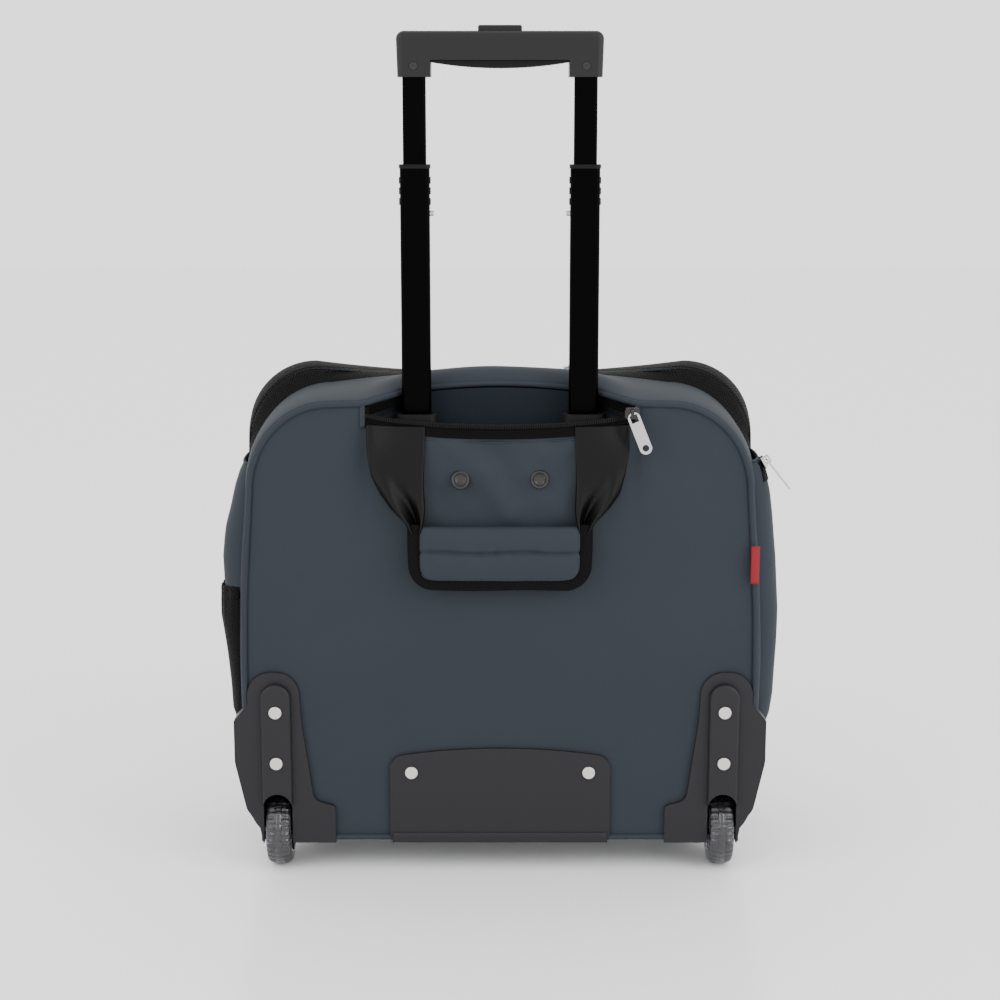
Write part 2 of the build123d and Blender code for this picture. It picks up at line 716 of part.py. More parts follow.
def tube_collar(side):
    """Plastic mouth on an outer tube: lip above it, skirt round it, bore guiding the middle tube."""
    low, high = COLLAR_Z
    skirt = 2.4
    x = side * TUBE_X
    with BuildPart() as collar:
        extrude(tube_sketch(Plane.XY.offset(low), OUTER_TUBE, x, skirt), amount=high - low)
        extrude(tube_sketch(Plane.XY.offset(low), OUTER_TUBE, x), amount=OUTER_Z[1] - low, mode=Mode.SUBTRACT)
        extrude(tube_sketch(Plane.XY.offset(low), MID_TUBE, x, SLIDE), amount=high - low, mode=Mode.SUBTRACT)
        add(inner_slot(side, low, high, PIN_D + 1.2, OUTER_TUBE[0]), mode=Mode.SUBTRACT)
        with Locations((x, TUBE_Y, (low + high) / 2)):
            Box(MID_TUBE[0] + 2 * (LUG_PROUD + SLIDE), LUG_DEPTH + 0.6, high - low, mode=Mode.SUBTRACT)
    return collar.part


def handle_base():
    """Cross-beam that ties the two outer tubes together inside the bottom edge."""
    low, high = BOTTOM_Z + FABRIC + 1.0, OUTER_Z[0] + 14.0
    with BuildPart() as base:
        with Locations((0, TUBE_Y, (low + high) / 2)):
            Box(2 * (TUBE_X + OUTER_TUBE[0] / 2 + 4.0), OUTER_TUBE[1] + 2.6, high - low)
        for _, side in SIDES:
            extrude(tube_sketch(Plane.XY.offset(OUTER_Z[0]), OUTER_TUBE, side * TUBE_X), amount=high - OUTER_Z[0], mode=Mode.SUBTRACT)
        with Locations((0, TUBE_Y, (low + high) / 2 + 6.0)):
            Box(2 * TUBE_X - OUTER_TUBE[0] - 12.0, OUTER_TUBE[1] - 2.0, high - low, mode=Mode.SUBTRACT)
    return base.part


def lug_boxes(side, extra):
    """The bush's snap lugs at both sides of the middle tube, grown by extra."""
    width = MID_TUBE[0] + 2 * LUG_PROUD
    return [
        Pos(side * TUBE_X, TUBE_Y, MID_TOP_Z - drop)
        * Box(width, LUG_DEPTH + 2 * extra, LUG_H + 2 * extra, mode=Mode.PRIVATE)
        for drop in LUG_DROPS
    ]


def mid_tube(side):
    """Middle tube with windows for the bush's lugs and a hole for its pin."""
    with BuildPart() as tube:
        add(hollow_tube(MID_TUBE, side, *MID_Z))
        add(lug_boxes(side, 0.0), mode=Mode.SUBTRACT)
        with BuildSketch(side_on(side * TUBE_X)):
            with Locations((TUBE_Y, PIN_Z)):
                Circle(PIN_D / 2)
        extrude(amount=-side * MID_TUBE[0], mode=Mode.SUBTRACT)
    return tube.part


def mid_bush(side):
    """Guide bush in the middle tube's mouth: a flange on top, a sleeve inside, snap lugs."""
    x = side * TUBE_X
    length = PIN_DROP + 8.0
    flange = 3.0
    with BuildPart() as bush:
        extrude(tube_sketch(Plane.XY.offset(MID_TOP_Z), MID_TUBE, x, 0.6), amount=flange)
        extrude(tube_sketch(Plane.XY.offset(MID_TOP_Z - length), bore_size(MID_TUBE), x), amount=length)
        add(lug_boxes(side, 0.0))
        extrude(tube_sketch(Plane.XY.offset(MID_TOP_Z - length), UPPER_TUBE, x, SLIDE), amount=length + flange, mode=Mode.SUBTRACT)
        with BuildSketch(side_on(x)):
            with Locations((TUBE_Y, PIN_Z)):
                Circle(PIN_D / 2)
        extrude(amount=-side * MID_TUBE[0], mode=Mode.SUBTRACT)
    return bush.part


def bush_pin(side):
    """Steel pin that holds the bush; its head stands out of the tube's inner wall."""
    start = UPPER_TUBE[0] / 2 + SLIDE + 0.1
    end = MID_TUBE[0] / 2 + PIN_PROUD
    with BuildPart() as pin:
        with BuildSketch(side_on(side * (TUBE_X - start))):
            with Locations((TUBE_Y, PIN_Z)):
                Circle(PIN_D / 2)
        extrude(amount=-side * (end - start))
        tip = pin.faces().sort_by(Axis.X)[-1 if side < 0 else 0]
        fillet(tip.edges(), 0.7)
    return pin.part


def mid_foot(side):
    """Glide plug in the middle tube's lower end."""
    x = side * TUBE_X
    with BuildPart() as foot:
        extrude(tube_sketch(Plane.XY.offset(MID_Z[0] - 10.0), bore_size(OUTER_TUBE), x, -SLIDE), amount=10.0)
        extrude(tube_sketch(Plane.XY.offset(MID_Z[0]), bore_size(MID_TUBE), x), amount=12.0)
    return foot.part


def upper_tube(side):
    """Upper tube, cross-drilled near its top for the grip's screw."""
    with BuildPart() as tube:
        add(hollow_tube(UPPER_TUBE, side, *UPPER_Z))
        with BuildSketch(facing_rear(TUBE_Y - 20.0)):
            with Locations((side * TUBE_X, SCREW_Z)):
                Circle(SCREW_D / 2 + 0.1)
        extrude(amount=-40.0, mode=Mode.SUBTRACT)
    return tube.part


def rod_x(side):
    return side * (TUBE_X - ROD_OFFSET)


LOCK_Z = UPPER_Z[0] - 7.0


def lock_block(side):
    """Latch block in the upper tube's lower end, bored for its push rod and its lock pin."""
    x = side * TUBE_X
    with BuildPart() as block:
        extrude(tube_sketch(Plane.XY.offset(UPPER_Z[0] - 14.0), bore_size(MID_TUBE), x, -SLIDE), amount=14.0)
        extrude(tube_sketch(Plane.XY.offset(UPPER_Z[0]), bore_size(UPPER_TUBE), x), amount=15.0)
        with BuildSketch(Plane.XY.offset(LOCK_Z + 3.0)):
            with Locations((rod_x(side), TUBE_Y)):
                Circle(ROD_D / 2 + 0.3)
        extrude(amount=30.0, mode=Mode.SUBTRACT)
        with BuildSketch(side_on(side * (TUBE_X - 1.0))):
            with Locations((TUBE_Y, LOCK_Z)):
                Circle(1.7)
        extrude(amount=-side * 20.0, mode=Mode.SUBTRACT)
    return block.part


def lock_pin(side):
    """Spring-loaded lock pin, drawn back inside its block."""
    with BuildPart() as pin:
        with BuildSketch(side_on(side * (TUBE_X - 1.0))):
            with Locations((TUBE_Y, LOCK_Z)):
                Circle(1.7)
        extrude(amount=-side * (bore_size(MID_TUBE)[0] / 2 - SLIDE - 1.4))
    return pin.part


# ---- Grip ----
def grip_block():
    """The grip's outer form: a bar with an end block on each pair of tubes."""
    inner = GRIP_HALF - GRIP_BLOCK
    with BuildPart() as block:
        with BuildSketch(facing_rear(TUBE_Y)) as face:
            with BuildLine():
                Polyline(
                    (-GRIP_HALF + 1.0, GRIP_FOOT_Z),
                    (-GRIP_HALF, GRIP_TOP_Z),
                    (GRIP_HALF, GRIP_TOP_Z),
                    (GRIP_HALF - 1.0, GRIP_FOOT_Z),
                    (inner, GRIP_FOOT_Z),
                    (inner, GRIP_UNDER_Z),
                    (-inner, GRIP_UNDER_Z),
                    (-inner, GRIP_FOOT_Z),
                    close=True,
                )
            make_face()
            fillet(face.vertices().group_by(Axis.Y)[-1], 6.0)
        extrude(amount=GRIP_DEPTH / 2, both=True)
        tops = block.edges().filter_by(Axis.X).group_by(Axis.Z)[-1]
        fillet(tops, 5.0)
    return block.part


def grip_hollow():
    """What is taken out of the grip: cavity, button slot, tube sockets, screw holes."""
    top = GRIP_TOP_Z - GRIP_WALL
    with BuildPart(mode=Mode.PRIVATE) as hollow:
        with Locations((0, TUBE_Y, (CAVITY_FLOOR_Z + top) / 2)):
            Box(2 * (GRIP_HALF - 5.0), 2 * CAVITY_HALF_DEPTH, top - CAVITY_FLOOR_Z)
        with Locations((0, TUBE_Y, top + 5.0)):
            Box(BUTTON[0] + 2 * FIT, BUTTON[1] + 2 * FIT, 12.0)
        for _, side in SIDES:
            extrude(tube_sketch(Plane.XY.offset(GRIP_FOOT_Z - 1.0), UPPER_TUBE, side * TUBE_X, 0.05), amount=CAVITY_FLOOR_Z - GRIP_FOOT_Z + 2.0)
            with BuildSketch(facing_rear(TUBE_Y - GRIP_DEPTH / 2)):
                with Locations((side * TUBE_X, SCREW_Z)):
                    Circle(3.3)
            extrude(amount=-3.0)
            with BuildSketch(facing_rear(TUBE_Y - GRIP_DEPTH / 2)):
                with Locations((side * TUBE_X, SCREW_Z)):
                    Circle(SCREW_D / 2)
            extrude(amount=-22.0)
    return hollow.part


GRIP_SOLID = grip_block() - grip_hollow()


def grip_shell(half):
    """One half of the grip, parted on the plane through the tubes: -1 rear, +1 front."""
    with BuildPart() as shell:
        add(GRIP_SOLID)
        split(bisect_by=facing_rear(TUBE_Y), keep=Keep.TOP if half < 0 else Keep.BOTTOM)
    return shell.part


def grip_underlay():
    """Soft palm rest under the bar, bellied at the middle."""
    inner = GRIP_HALF - GRIP_BLOCK
    with BuildPart() as rest:
        with BuildSketch(facing_rear(TUBE_Y)):
            with BuildLine():
                Line((-inner, GRIP_UNDER_Z), (inner, GRIP_UNDER_Z))
                Line((inner, GRIP_UNDER_Z), (inner, GRIP_UNDER_Z - 1.4))
                ThreePointArc(
                    (inner, GRIP_UNDER_Z - 1.4), (0, GRIP_BELLY_Z), (-inner, GRIP_UNDER_Z - 1.4)
                )
                Line((-inner, GRIP_UNDER_Z - 1.4), (-inner, GRIP_UNDER_Z))
            make_face()
        extrude(amount=GRIP_DEPTH / 2 - 2.0, both=True)
    return rest.part


def grip_screw(side):
    """Pan-head screw with a cross recess, through both shells and the tube."""
    head_y = TUBE_Y - GRIP_DEPTH / 2 + 0.8
    with BuildPart() as screw:
        with BuildSketch(facing_rear(head_y)):
            with Locations((side * TUBE_X, SCREW_Z)):
                Circle(3.0)
        extrude(amount=-2.2)
        with BuildSketch(facing_rear(head_y + 2.2)):
            with Locations((side * TUBE_X, SCREW_Z)):
                Circle(SCREW_D / 2)
        extrude(amount=-18.0)
        with BuildSketch(facing_rear(head_y)):
            with Locations((side * TUBE_X, SCREW_Z)):
                Rectangle(3.6, 0.9)
                Rectangle(0.9, 3.6)
        extrude(amount=-1.2, mode=Mode.SUBTRACT)
    return screw.part


LINK_SIDE_Z = (CAVITY_FLOOR_Z + 5.5, CAVITY_FLOOR_Z + 9.0)
LINK_MID_Z = (CAVITY_FLOOR_Z + 10.0, CAVITY_FLOOR_Z + 13.5)
SPRING_X = 11.0


def release_button():
    """Push button standing out of the grip's top."""
    with BuildPart() as button:
        top = GRIP_TOP_Z + BUTTON_PROUD
        with Locations((0, TUBE_Y, (LINK_MID_Z[1] + top) / 2)):
            Box(BUTTON[0], BUTTON[1], top - LINK_MID_Z[1])
        fillet(button.faces().sort_by(Axis.Z)[-1].edges(), 1.5)
    return button.part


def button_linkage():
    """Yoke under the button, stepped down at its ends, with the two push rods."""
    half = 24.0
    with BuildPart() as link:
        with BuildSketch(facing_rear(TUBE_Y)):
            with BuildLine():
                Polyline(
                    (-TUBE_X, LINK_SIDE_Z[0]),
                    (-half, LINK_SIDE_Z[0]),
                    (-half + 4.0, LINK_MID_Z[0]),
                    (half - 4.0, LINK_MID_Z[0]),
                    (half, LINK_SIDE_Z[0]),
                    (TUBE_X, LINK_SIDE_Z[0]),
                    (TUBE_X, LINK_SIDE_Z[1]),
                    (half + 3.0, LINK_SIDE_Z[1]),
                    (half - 1.0, LINK_MID_Z[1]),
                    (-half + 1.0, LINK_MID_Z[1]),
                    (-half - 3.0, LINK_SIDE_Z[1]),
                    (-TUBE_X, LINK_SIDE_Z[1]),
                    close=True,
                )
            make_face()
        extrude(amount=3.0, both=True)
        for _, side in SIDES:
            with BuildSketch(Plane.XY.offset(LOCK_Z + 3.0 + BUTTON_TRAVEL + 4.0)):
                with Locations((rod_x(side), TUBE_Y)):
                    Circle(ROD_D / 2)
            extrude(until=Until.NEXT)
    return link.part


def button_spring(side):
    """Compression spring between the cavity floor and the yoke."""
    wire, radius = 0.6, 2.4
    low, high = CAVITY_FLOOR_Z + wire / 2, LINK_MID_Z[0] - wire / 2
    place = Plane(origin=(side * SPRING_X, TUBE_Y, low))
    with BuildPart() as spring:
        with BuildLine(place) as path:
            Helix(pitch=(high - low) / 5, height=high - low, radius=radius)
        with BuildSketch(Plane(origin=path.line @ 0, z_dir=path.line % 0)):
            Circle(wire / 2)
        sweep()
    return spring.part


# ---- Carry handle ----
def carry_strap(side):
    """Webbing from the pocket's edge down to the grip, drawn in as it is folded."""
    inner, outer = STRAP_TOP
    foot_in, foot_out = STRAP_FOOT
    foot_z = PAD_Z[1] - 2.0
    with BuildPart() as strap:
        with BuildSketch(facing_rear(STRAP_Y)):
            with BuildLine():
                Line((side * inner, STRAP_TOP_Z), (side * outer, STRAP_TOP_Z))
                ThreePointArc(
                    (side * outer, STRAP_TOP_Z),
                    (side * (outer - 5.5), (STRAP_TOP_Z + foot_z) / 2 - 4.0),
                    (side * foot_out, foot_z),
                )
                Line((side * foot_out, foot_z), (side * foot_in, foot_z))
                Line((side * foot_in, foot_z), (side * inner, STRAP_TOP_Z))
            make_face()
        extrude(amount=-STRAP_T)
    return strap.part


def handle_pad():
    """Padded wrap on the webbing, square above and round-cornered below."""
    low, high = PAD_Z
    middle = STRAP_Y + STRAP_T / 2
    with BuildPart() as pad:
        with BuildSketch(facing_rear(middle)) as face:
            with Locations((0, (low + high) / 2)):
                Rectangle(2 * PAD_HALF, high - low)
            fillet(face.vertices().group_by(Axis.Y)[0], 18.0)
            fillet(face.vertices().group_by(Axis.Y)[-1], 3.0)
        extrude(amount=PAD_T / 2, both=True)
        fillet(pad.faces().sort_by(Axis.Y)[0].edges(), 4.0)
        fillet(pad.faces().sort_by(Axis.Y)[-1].edges(), 4.0)
        for _, side in SIDES:
            add(carry_strap(side), mode=Mode.SUBTRACT)
    return pad.part


# ---- Front half ----
def front_pocket():
    """Large bellows pocket on the front panel, with its own hollow."""
    low, high = FRONT_POCKET_Z
    with BuildPart() as pocket:
        with BuildSketch(facing_rear(FRONT_Y)):
            with Locations((0, (low + high) / 2)):
                RectangleRounded(2 * FRONT_POCKET_HALF, high - low, 26.0)
        extrude(amount=-FRONT_POCKET_T)
        fillet(pocket.faces().sort_by(Axis.Y)[-1].edges(), 14.0)
        with BuildSketch(facing_rear(FRONT_Y)):
            with Locations((0, (low + high) / 2)):
                RectangleRounded(
                    2 * (FRONT_POCKET_HALF - FABRIC), high - low - 2 * FABRIC, 26.0 - FABRIC
                )
        extrude(amount=-(FRONT_POCKET_T - FABRIC - 8.0), mode=Mode.SUBTRACT)
    return pocket.part


def front_pocket_zip():
    """Closed zip across the upper part of the front pocket: two tapes and the coil between."""
    face = FRONT_Y + FRONT_POCKET_T
    half = FRONT_POCKET_HALF - 30.0
    with BuildPart() as tape:
        with Locations((0, face + 0.4, FRONT_ZIP_Z)):
            Box(2 * half, 0.8, 26.0)
        with Locations((0, face + 1.0, FRONT_ZIP_Z)):
            Box(2 * half - 8.0, 0.4, 5.0)
    return tape.part


def side_pocket_zip():
    """Closed zip along the sloping top of the right-hand pocket."""
    rear, front = SIDE_POCKET_Y
    middle = (REAR.brow + 11.0, (rear + front) / 2, SIDE_POCKET_Z[1] - 4.0)
    with BuildPart() as tape:
        with BuildSketch(Plane(middle, x_dir=(0, 1, 0), z_dir=(0.86, 0, 0.5))):
            Rectangle(front - rear - 22.0, 14.0)
        extrude(amount=-1.0)
    return tape.part


def flat_layer(low, high):
    """Everything between two heights, for cutting the front section from its base."""
    middle = Pos(0, ZIP_Y, (low + high) / 2)
    return middle * Box(800.0, 800.0, high - low, mode=Mode.PRIVATE)


def front_panel():
    with BuildPart() as panel:
        extrude(outline_face(FRONT, FABRIC), amount=FABRIC)
        add(flat_layer(0.0, BASE_Z + ZIP_GAP / 2), mode=Mode.SUBTRACT)
    return panel.part


def front_gusset():
    with BuildPart() as gusset:
        add(bag_ring((BAND_FRONT, FRONT)))
        add(flat_layer(0.0, BASE_Z + ZIP_GAP / 2), mode=Mode.SUBTRACT)
    return gusset.part


def zip_band_front():
    """The front half of the black zip band, down to the fixed base."""
    with BuildPart() as band:
        add(bag_ring((ZIP._replace(y=ZIP_Y + ZIP_GAP), BAND_FRONT)))
        add(flat_layer(0.0, BASE_Z + ZIP_GAP / 2), mode=Mode.SUBTRACT)
    return band.part


def front_base():
    """Fixed tray under the front section: floor, low sides and low front."""
    with BuildPart() as base:
        add(bag_ring((ZIP, BAND_FRONT, FRONT)))
        extrude(outline_face(FRONT, FABRIC), amount=FABRIC)
        add(flat_layer(0.0, BASE_Z - ZIP_GAP / 2), mode=Mode.INTERSECT)
    return base.part


def front_foot(side):
    """Moulded foot under the front edge: a flange, a taper and a flat sole."""
    with BuildPart() as foot:
        with BuildSketch(Plane.XY):
            with Locations((side * FOOT_X, FOOT_Y)):
                Circle(11.0)
        with BuildSketch(Plane.XY.offset(BOTTOM_Z - 3.0)):
            with Locations((side * FOOT_X, FOOT_Y)):
                Circle(15.0)
        loft()
        with BuildSketch(Plane.XY.offset(BOTTOM_Z - 3.0)):
            with Locations((side * FOOT_X, FOOT_Y)):
                Circle(18.0)
        extrude(amount=6.5)
        add(solid_bag((BAND_FRONT, FRONT)), mode=Mode.SUBTRACT)
    return foot.part


# ---- Zip sliders and pulls ----
def slider(place):
    """Die-cast slider: a waisted body and, across it, the loop that holds the pull."""
    with BuildPart() as body:
        with BuildSketch(place):
            RectangleRounded(SLIDER[0], SLIDER[1], 2.4)
        extrude(amount=SLIDER_T)
        with BuildSketch(place.offset(SLIDER_T)):
            Rectangle(LOOP_W, 2 * (LOOP_HALF + LOOP_T))
        extrude(amount=LOOP_H + LOOP_T)
        with BuildSketch(place.offset(SLIDER_T)):
            Rectangle(LOOP_W, 2 * LOOP_HALF)
        extrude(amount=LOOP_H, mode=Mode.SUBTRACT)
    return body.part


def pull(place, length):
    """Flat pull tab: an end bar through the slider's loop, an eye, a body and a tail hole."""
    half = PULL_W / 2
    bar = 1.0
    with BuildPart() as tab:
        with BuildSketch(place):
            with Locations((0, length / 2 - bar)):
                RectangleRounded(PULL_W, length, half - 0.1)
            with Locations((0, bar + EYE_L / 2)):
                Rectangle(EYE_W, EYE_L, mode=Mode.SUBTRACT)
            with Locations((0, length - bar - half)):
                Circle(2.6, mode=Mode.SUBTRACT)
        extrude(amount=PULL_T / 2, both=True)
    return tab.part


def zip_set(name, at, along, away, hang, length):
    """One zip's slider and pull: where it rests, along and away from the teeth, hang direction."""
    rest = Plane(at, x_dir=along, z_dir=away)
    hinge = rest.offset(SLIDER_T + LOOP_H / 2)
    across = Vector(*hang).normalized()
    axis = Vector(*along) - across * Vector(*along).dot(across)
    tab = Plane(hinge.origin, x_dir=axis, z_dir=axis.cross(across))
    save(slider(rest), f"{name}_slider")
    save(pull(tab, length), f"{name}_pull")


def top_edge_z(o, x):
    """Height of an outline's top edge at a distance from the middle."""
    return o.crown + (o.shoulder - o.crown) * (x / (o.brow - o.r_brow)) ** 2


def zip_sets():
    """Place every zip's slider and pull."""
    front_face = FRONT_Y + FRONT_POCKET_T + 1.2
    pocket_at = (POCKET_HALF - 3.0, REAR_Y - POCKET_LEAN, POCKET_SILL_Z + ZIP_TAPE + 3.0)
    zip_set("pocket", pocket_at, (1, 0, 0), (0, -1, 0), (0.4, -0.06, -1), 34.0)
    for name, x, reach in MAIN_SLIDERS:
        top = top_edge_z(ZIP, reach + SLIDER[0] / 2) + MAIN_SLIDER_LIFT
        zip_set(name, (x, ZIP_Y, top), (1, 0, 0), (0, 0, 1), (0, 1, -0.1), 30.0)
    side_at = (REAR.brow + 11.0, SIDE_POCKET_Y[0] + 14.0, SIDE_POCKET_Z[1] - 4.0)
    zip_set("side", side_at, (0, 1, 0), (0.86, 0, 0.5), (0.62, 0, -0.78), 31.0)
    front_at = (-FRONT_POCKET_HALF + 40.0, front_face, FRONT_ZIP_Z)
    zip_set("front", front_at, (1, 0, 0), (0, 1, 0), (0, 0, -1), 34.0)


# ---- Build and write every node ----
SINGLE_PIECES = {
    "rear_gusset": rear_gusset,
    "rear_panel": rear_panel,
    "rear_piping": rear_piping,
    "pocket_front": pocket_front,
    "pocket_zip_tapes": pocket_zip_tapes,
    "snap_buttons": snap_buttons,
    "back_board": back_board,
    "laptop_sleeve": laptop_sleeve,
    "bottle_pocket": bottle_pocket,
    "side_label": side_label,
    "rivets": rivets,
    "kick_plate": kick_plate,
    "handle_base": handle_base,
    "grip_underlay": grip_underlay,
    "release_button": release_button,
    "button_linkage": button_linkage,
    "handle_pad": handle_pad,
    "side_pocket_zip": side_pocket_zip,
    "front_pocket": front_pocket,
    "front_pocket_zip": front_pocket_zip,
    "front_panel": front_panel,
    "front_gusset": front_gusset,
    "front_base": front_base,
    "zip_band_front": zip_band_front,
}
LEFT_AND_RIGHT = {
    "side_pocket": side_pocket,
    "corner_guard": corner_guard,
    "wheel_core": wheel_core,
    "wheel_tyre": wheel_tyre,
}
IN_PAIRS = {
    "outer_tubes": outer_tube,
    "mid_tubes": mid_tube,
    "upper_tubes": upper_tube,
    "wheel_housings": wheel_housing,
    "wheel_axles": wheel_axle,
    "tube_collars": tube_collar,
    "mid_bushes": mid_bush,
    "bush_pins": bush_pin,
    "mid_feet": mid_foot,
    "lock_blocks": lock_block,
    "lock_pins": lock_pin,
    "grip_screws": grip_screw,
    "button_springs": button_spring,
    "carry_straps": carry_strap,
    "front_feet": front_foot,
}

os.makedirs("parts", exist_ok=True)
for name, make in SINGLE_PIECES.items():
    save(make(), name)
for name, make in LEFT_AND_RIGHT.items():
    for label, side in SIDES:
        save(make(side), f"{name}_{label}")
for name, make in IN_PAIRS.items():
    save(Compound(children=[make(side) for _, side in SIDES]), name)
save(bag_ring((SEAM, ZIP)), "zip_band_rear")
save(grip_shell(-1), "grip_rear_shell")
save(grip_shell(1), "grip_front_shell")
zip_sets()
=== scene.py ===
import json
import math

import bmesh
import bpy
import numpy as np
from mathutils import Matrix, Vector, noise


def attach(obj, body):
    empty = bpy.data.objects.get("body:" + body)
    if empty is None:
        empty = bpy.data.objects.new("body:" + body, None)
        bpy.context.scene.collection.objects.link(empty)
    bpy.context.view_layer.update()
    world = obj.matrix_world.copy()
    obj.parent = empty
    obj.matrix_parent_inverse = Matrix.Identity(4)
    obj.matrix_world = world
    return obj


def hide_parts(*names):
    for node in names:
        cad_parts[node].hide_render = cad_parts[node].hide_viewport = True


# Sizes below are in millimetres, in the CAD frame; pieces are made in metres.
MM = 0.001

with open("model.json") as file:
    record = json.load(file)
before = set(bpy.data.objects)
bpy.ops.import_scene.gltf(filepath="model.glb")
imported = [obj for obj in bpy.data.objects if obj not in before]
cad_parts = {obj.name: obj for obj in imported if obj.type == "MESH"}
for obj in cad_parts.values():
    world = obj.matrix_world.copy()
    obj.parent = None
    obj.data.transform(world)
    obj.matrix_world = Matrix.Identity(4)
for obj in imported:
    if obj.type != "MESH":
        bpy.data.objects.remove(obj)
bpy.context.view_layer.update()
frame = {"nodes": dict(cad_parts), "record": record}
NODES = frame["nodes"]

REAR_Y, SEAM_Y, ZIP_Y, BAND_Y, FRONT_Y = -92.0, -12.0, 5.5, 23.0, 80.0
BASE_Z = 58.0
MOUTH = 105.0  # half width of the handle pocket's mouth
WHEEL_X, WHEEL_Y, WHEEL_Z = 178.0, -74.0, 30.0  # middle of the right wheel
LEAST_Z = 300.0  # the crown's part of an outline lies above this
MIDDLE_Z = 200.0  # cloth bulges away from this height on the case's middle line
SEAM_MIDDLE_Z = 210.0  # the same for the cords along the seams
RIGHT_SIDE = slice(14, 71)  # the points of an outline that run up its right side
SIDE_NAMES = ((-1, "left"), (1, "right"))


# ---------------------------------------------------------------- materials
def new_material(name):
    mat = bpy.data.materials.new(name)
    mat.use_nodes = True
    nodes = mat.node_tree.nodes
    return mat, nodes, mat.node_tree.links, nodes["Principled BSDF"]


def set_socket(shader, **values):
    for key, value in values.items():
        shader.inputs[key.replace("_", " ")].default_value = value


def plain(name, color, rough, metal=0.0, **extra):
    mat, _, _, bsdf = new_material(name)
    set_socket(bsdf, Base_Color=(*color, 1.0), Roughness=rough, Metallic=metal, **extra)
    return mat


def add_bump(nodes, links, bsdf, height, strength, distance):
    bump = nodes.new("ShaderNodeBump")
    bump.inputs["Strength"].default_value = strength
    bump.inputs["Distance"].default_value = distance
    links.new(height, bump.inputs["Height"])
    links.new(bump.outputs["Normal"], bsdf.inputs["Normal"])
    return bump


def moulded(name, color, rough, grain=900.0, strength=0.12, **extra):
    """Moulded plastic with a fine pebbled grain."""
    mat, nodes, links, bsdf = new_material(name)
    set_socket(bsdf, Base_Color=(*color, 1.0), Roughness=rough, **extra)
    coord = nodes.new("ShaderNodeTexCoord")
    tex = nodes.new("ShaderNodeTexNoise")
    tex.inputs["Scale"].default_value = grain
    tex.inputs["Detail"].default_value = 3.0
    links.new(coord.outputs["Object"], tex.inputs["Vector"])
    add_bump(nodes, links, bsdf, tex.outputs["Fac"], strength, 0.0004)
    return mat


def wave(nodes, links, vector, scale, angle):
    """Parallel ridges across a turned copy of a coordinate."""
    mapping = nodes.new("ShaderNodeMapping")
    mapping.inputs["Rotation"].default_value = (0.0, 0.0, math.radians(angle))
    links.new(vector, mapping.inputs["Vector"])
    tex = nodes.new("ShaderNodeTexWave")
    tex.inputs["Scale"].default_value = scale
    tex.inputs["Distortion"].default_value = 0.6
    tex.inputs["Detail"].default_value = 1.0
    links.new(mapping.outputs["Vector"], tex.inputs["Vector"])
    return tex.outputs["Fac"]


WAVE_MM = 2 * math.pi / 6.28 * 0.31  # scale at which the wave texture repeats every millimetre


def cloth(name, color, rough, pitch, angles, strength, mottle=0.05, depth=0.0003, **extra):
    """Woven cloth: crossed ridges laid out in millimetres of arc length, and a little mottling."""
    mat, nodes, links, bsdf = new_material(name)
    set_socket(bsdf, Roughness=rough, **extra)
    coord = nodes.new("ShaderNodeTexCoord")
    uv, obj = coord.outputs["UV"], coord.outputs["Object"]
    ridges = [wave(nodes, links, uv, WAVE_MM / pitch, a) for a in angles]
    height = ridges[0]
    for other in ridges[1:]:
        mix = nodes.new("ShaderNodeMath")
        mix.operation = "MAXIMUM"
        links.new(height, mix.inputs[0])
        links.new(other, mix.inputs[1])
        height = mix.outputs["Value"]
    cloud = nodes.new("ShaderNodeTexNoise")
    cloud.inputs["Scale"].default_value = 14.0
    cloud.inputs["Detail"].default_value = 5.0
    links.new(obj, cloud.inputs["Vector"])
    ramp = nodes.new("ShaderNodeMapRange")
    ramp.inputs["To Min"].default_value = 1.0 - mottle
    ramp.inputs["To Max"].default_value = 1.0 + mottle
    links.new(cloud.outputs["Fac"], ramp.inputs["Value"])
    tint = nodes.new("ShaderNodeVectorMath")
    tint.operation = "SCALE"
    tint.inputs[0].default_value = color
    links.new(ramp.outputs["Result"], tint.inputs["Scale"])
    links.new(tint.outputs["Vector"], bsdf.inputs["Base Color"])
    add_bump(nodes, links, bsdf, height, strength, depth)
    return mat


BLUE = (0.0242, 0.0292, 0.0362)
MATT = dict(Specular_IOR_Level=0.08)
M_CLOTH = cloth("bag_cloth", BLUE, 0.62, 0.9, (45, -45), 0.10, Specular_IOR_Level=0.07)
M_LINING = cloth("lining", (0.011, 0.015, 0.020), 0.7, 1.0, (0, 90), 0.2, **MATT)
M_BLACK = cloth("black_cloth", (0.0026, 0.0024, 0.0025), 0.6, 2.2, (35, -35), 1.0, 0.12, 0.0011, **MATT)
M_TAPE = cloth("tape_cloth", (0.0026, 0.0023, 0.0025), 0.7, 1.8, (90,), 1.0, 0.12, 0.0009, **MATT)
M_MESH = cloth("mesh_cloth", (0.0026, 0.0024, 0.0026), 0.66, 2.4, (60, -60), 0.9, 0.1, 0.0008, **MATT)
M_WEB = cloth("webbing", (0.0010, 0.0010, 0.0011), 0.42, 1.1, (90,), 0.35, 0.08, Specular_IOR_Level=0.16)
M_LABEL = cloth("label_cloth", (0.20, 0.020, 0.026), 0.7, 1.0, (0, 90), 0.5, **MATT)
M_BOARD = plain("board", (0.008, 0.008, 0.0085), 0.5)
M_GUARD = moulded("guard_plastic", (0.0132, 0.0122, 0.0142), 0.5, Specular_IOR_Level=0.22)
M_PLASTIC = moulded("black_plastic", (0.0018, 0.0018, 0.0020), 0.42, Specular_IOR_Level=0.16)
M_GRIP = moulded("grip_plastic", (0.0092, 0.0092, 0.0097), 0.46, Specular_IOR_Level=0.22)
